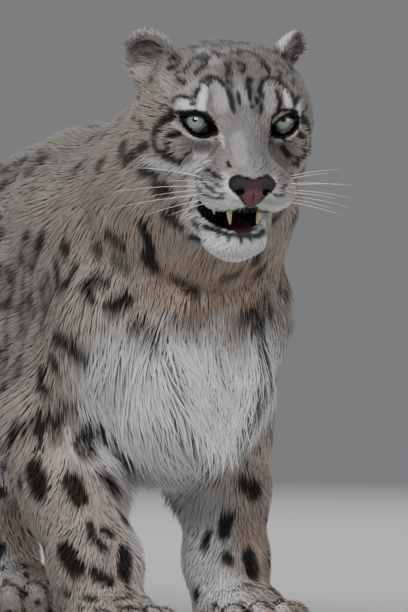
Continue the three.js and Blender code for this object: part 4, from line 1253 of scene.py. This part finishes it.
def ball_from_rings(name, points, colours, finish):
    """A closed mesh from rings, with a fan over each end, in the given colours."""
    rings, around = points.shape[:2]
    quads = faces_between(points)
    sides = np.concatenate([quads[:, [0, 1, 2]], quads[:, [0, 2, 3]]])
    vertices = np.concatenate([points.reshape(-1, 3), points[:1].mean(axis=1), points[-1:].mean(axis=1)])
    j = np.arange(around)
    first, last = rings * around, rings * around + 1
    start = np.stack([np.full(around, first), (j + 1) % around, j], axis=1)
    end_ring = (rings - 1) * around
    stop = np.stack([np.full(around, last), end_ring + j, end_ring + (j + 1) % around], axis=1)
    made = mesh_object(name, vertices, np.concatenate([sides, start, stop]))
    flat = colours.reshape(-1, 3)
    paint(made, np.concatenate([flat, flat[:1], flat[-1:]]))
    made.data.materials.append(finish)
    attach(made, "root")
    return made


for name, (side, pixel) in IRIS_PIXELS.items():
    centre = from_head(EYE_CENTRE * (side, 1, 1))
    right = (pixel[0] - FRAME_MIDDLE[0]) / PIXELS_PER_RADIAN
    up = (FRAME_MIDDLE[1] - pixel[1]) / PIXELS_PER_RADIAN
    way = right * camera_right + up * np.array([0, 0, 1.0]) - camera_back
    way /= np.linalg.norm(way)
    travel = (centre - CAMERA_PLACE) @ way
    nearest = CAMERA_PLACE + travel * way - centre
    back = math.sqrt(max(EYE_RADIUS**2 - nearest @ nearest, 1))
    gaze = (nearest - back * way) / EYE_RADIUS
    first = np.cross(gaze, (0, 0, 1.0))
    first /= np.linalg.norm(first)
    second = np.cross(gaze, first)
    iris_angle = math.asin(IRIS_RADIUS / EYE_RADIUS)
    across_iris = np.linspace(POLE, 1.15 * iris_angle, IRIS_RINGS)
    beyond = np.linspace(1.25 * iris_angle, math.pi - POLE, WHITE_RINGS)
    angles = np.concatenate([across_iris, beyond])
    spin = np.linspace(0, 2 * np.pi, EYE_SEGMENTS, endpoint=False)
    t, a = np.meshgrid(angles, spin, indexing="ij")
    bulge = CORNEA_BULGE * np.maximum(1 - (t / iris_angle) ** 2, 0) ** 1.5
    radius = EYE_RADIUS + bulge
    points = centre + radius[..., None] * (np.cos(t)[..., None] * gaze + np.sin(t)[..., None]
                                           * (np.cos(a)[..., None] * first + np.sin(a)[..., None] * second))
    off = EYE_RADIUS * np.sin(np.minimum(t, np.pi / 2))
    streaks = 1 + 0.16 * np.sin(31 * a) * np.sin(17 * a + 2) + 0.08 * np.sin(53 * a + off)
    colour = IRIS_INNER + smooth(off, 3, 6)[..., None] * (IRIS_OUTER - IRIS_INNER)
    colour = colour * streaks[..., None]
    colour = colour + smooth(off, 6.8, 8.6)[..., None] * (IRIS_RIM - colour)
    colour = PUPIL + smooth(off, PUPIL_RADIUS - 0.3, PUPIL_RADIUS + 0.3)[..., None] * (colour - PUPIL)
    colour = colour + smooth(off, 8.6, 9.6)[..., None] * (EYE_DARK - colour)
    eye = ball_from_rings(f"{name}_ball", points, colour, wet_eye)
    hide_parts(name)

# The nose leather: bare, finely cobbled and moist, brick pink low in the middle and nearly black above
# and at the wings. It is one closed surface drawn from its own rounded forms, with two comma nostrils
# sunk in it.
def nose_field(q):
    groove = egg(0, nose_y - 13, nose_z - 9, 1.1, 4, 9)
    total = nose_pad(q)
    for hole in nostrils:
        total = np.maximum(total, -hole(q))
    return np.maximum(total, -groove(q))


def small_surface(field, low, high, step):
    """A closed triangle mesh of a small form, drawn and returned in the head's frame."""
    axes = [np.arange(a, b + step, step) for a, b in zip(low, high)]
    values = field(np.stack(np.meshgrid(*axes, indexing="ij"), axis=-1))
    points, quads = surface(values, axes)
    for _ in range(2):
        slope = gradient(field, points, 0.3)
        points = points - slope * (field(points) / np.maximum((slope**2).sum(axis=1), 0.2))[:, None]
    return points, np.concatenate([quads[:, [0, 1, 2]], quads[:, [0, 2, 3]]])


low, high = (-26, nose_y - 14, nose_z - 20), (26, nose_y + 12, nose_z + 16)
points, faces = small_surface(nose_field, low, high, 0.8)
nose = mesh_object("nose_leather", from_head(points), faces)
NOSE_PINK, NOSE_DARK = linear("#5a383b"), linear("#0c0b0d")
upper = smooth(points[:, 2] + 0.12 * np.abs(points[:, 0]), nose_z - 2, nose_z + 6)
wings = smooth(np.abs(points[:, 0]) + 0.5 * (points[:, 2] - nose_z), 6, 11)
in_hole = np.max([smooth(-hole(points), -1.2, 0.5) for hole in nostrils], axis=0)
dark = np.maximum(np.maximum(0.85 * upper, 0.92 * wings), in_hole)
paint(nose, NOSE_PINK + dark[:, None] * (NOSE_DARK - NOSE_PINK))
COBBLES_PER_METRE = 1 / 0.0016
leather, tree, shader = coloured_material("moist nose leather", 0.5, Specular_IOR_Level=0.3, Coat_Weight=0.06,
                                          Coat_Roughness=0.35)
cobbles = node(tree, "ShaderNodeTexVoronoi", inputs={"Scale": COBBLES_PER_METRE})
add_bumps(tree, shader, cobbles.outputs["Distance"], 0.5, 0.0004)
nose.data.materials.append(leather)
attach(nose, "root")
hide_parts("nose")

# The teeth: two upper canines and the premolars behind them, yellowed enamel that is browner at the gum.
# Each is a slightly curved cone with a rounded tip.
ENAMEL_TIP, ENAMEL_ROOT = linear("#cdb288"), linear("#8a6440")
TEETH = {  # place in the head, length, radius, splay in degrees
    "canine": ((16, -91, -50), 25, 4.6, -8), "premolar": ((25, -73, -50), 20, 4.0, -3)}
STAINS_PER_METRE = 1 / 0.003
enamel, tree, shader = material("yellowed enamel", 0.22, Coat_Weight=0.6, Coat_Roughness=0.08)
shade = node(tree, "ShaderNodeVertexColor", {"layer_name": "coat colour"})
grain = node(tree, "ShaderNodeTexNoise", inputs={"Scale": STAINS_PER_METRE, "Detail": 3.0})
stain = node(tree, "ShaderNodeMix", {"data_type": "RGBA", "blend_type": "MULTIPLY"}, {"Factor": 0.25})
tree.links.new(shade.outputs["Color"], stain.inputs["A"])
tree.links.new(grain.outputs["Fac"], stain.inputs["B"])
tree.links.new(stain.outputs["Result"], shader.inputs["Base Color"])
for kind, (place, length, radius, splay) in TEETH.items():
    for side, side_name in ((1, "left"), (-1, "right")):
        t = np.linspace(0, 1, 22)[:, None]
        a = np.linspace(0, 2 * np.pi, 20, endpoint=False)[None]
        wide = radius * np.sqrt(np.maximum(1 - t**1.7, 0.004)) * (1 - 0.25 * t)
        bend = 1.8 * t * t
        lean = math.tan(math.radians(splay)) * side
        x = side * place[0] + 0.85 * wide * np.cos(a) + lean * length * t
        y = place[1] + wide * np.sin(a) + bend
        z = place[2] - length * t + 0 * a
        colour = ENAMEL_ROOT + smooth(t, 0.1, 0.7)[..., None] * (ENAMEL_TIP - ENAMEL_ROOT) + 0 * a[..., None]
        points = from_head(np.stack([x, y, z], axis=-1))
        tooth = ball_from_rings(f"{kind}_{side_name}_tooth", points, colour, enamel)
        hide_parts(f"{kind}_{side_name}")

# The tongue: wet dark red flesh with fine rasping points, low in the mouth behind the teeth.
tongue_form = blend(6, [egg(0, -50, -86, 18, 36, 7), egg(0, -74, -85, 15, 15, 5)])
points, faces = small_surface(tongue_form, (-20, -92, -96), (20, -12, -76), 1.1)
tongue = mesh_object("tongue_flesh", from_head(points), faces)
RASPS_PER_METRE = 1 / 0.0018
flesh, tree, shader = material("wet tongue", 0.3, Coat_Weight=0.4, Coat_Roughness=0.15)
rasps = node(tree, "ShaderNodeTexVoronoi", inputs={"Scale": RASPS_PER_METRE})
two_tones(tree, shader, rasps.outputs["Distance"], "#5c3034", "#381a1d")
add_bumps(tree, shader, rasps.outputs["Distance"], 0.6, 0.0006)
tongue.data.materials.append(flesh)
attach(tongue, "root")
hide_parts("tongue")

# The whiskers: stiff white bristles in three rows on each pad, thick at the root, curving back and down
# to a fine tip. Each is a closed tapering tube.
WHISKER_RADIUS = 0.24
bristle, tree, shader = material("whisker bristle", 0.35)
grain = node(tree, "ShaderNodeTexNoise", inputs={"Scale": 40.0})
two_tones(tree, shader, grain.outputs["Fac"], "#d9d9d6", "#f1f0ec")
whisker_points, whisker_faces, count = [], [], 0
for side in (1, -1):
    for row in range(3):
        for place in range(3):
            root = np.array([side * (26 + 2.2 * place), -101 + 10.0 * place - 1.5 * row, -34 - 7 * row])
            long = rng.uniform(62, 92) * (0.75 + 0.12 * place)
            out = np.array([side * (0.92 + 0.06 * row), -0.30 + 0.20 * place, 0.26 - 0.16 * row])
            out += rng.normal(size=3) * 0.05
            out /= np.linalg.norm(out)
            t = np.linspace(0, 1, 14)
            sag = np.array([0, 0.40, -0.34])
            line = root + long * (t[:, None] * out + (t * t)[:, None] * sag * 0.5)
            ahead = np.gradient(line, axis=0)
            ahead /= np.linalg.norm(ahead, axis=1)[:, None]
            u = np.cross(ahead, (0, 0, 1.0))
            u /= np.linalg.norm(u, axis=1)[:, None]
            v = np.cross(ahead, u)
            a = np.linspace(0, 2 * np.pi, 5, endpoint=False)
            wide = WHISKER_RADIUS * (1 - t) ** 0.7 + 0.03
            ring = line[:, None] + wide[:, None, None] * (np.cos(a)[None, :, None] * u[:, None]
                                                          + np.sin(a)[None, :, None] * v[:, None])
            quads = faces_between(ring)
            ends = [[0, 4, 3], [0, 3, 2], [0, 2, 1]] + [[65, 65 + k, 66 + k] for k in (1, 2, 3)]
            whisker_faces.append(np.concatenate([quads[:, [0, 1, 2]], quads[:, [0, 2, 3]], ends]) + count)
            whisker_points.append(ring.reshape(-1, 3))
            count += ring.shape[0] * ring.shape[1]
whiskers = mesh_object("whiskers", from_head(np.concatenate(whisker_points)), np.concatenate(whisker_faces))
whiskers.data.materials.append(bristle)
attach(whiskers, "root")
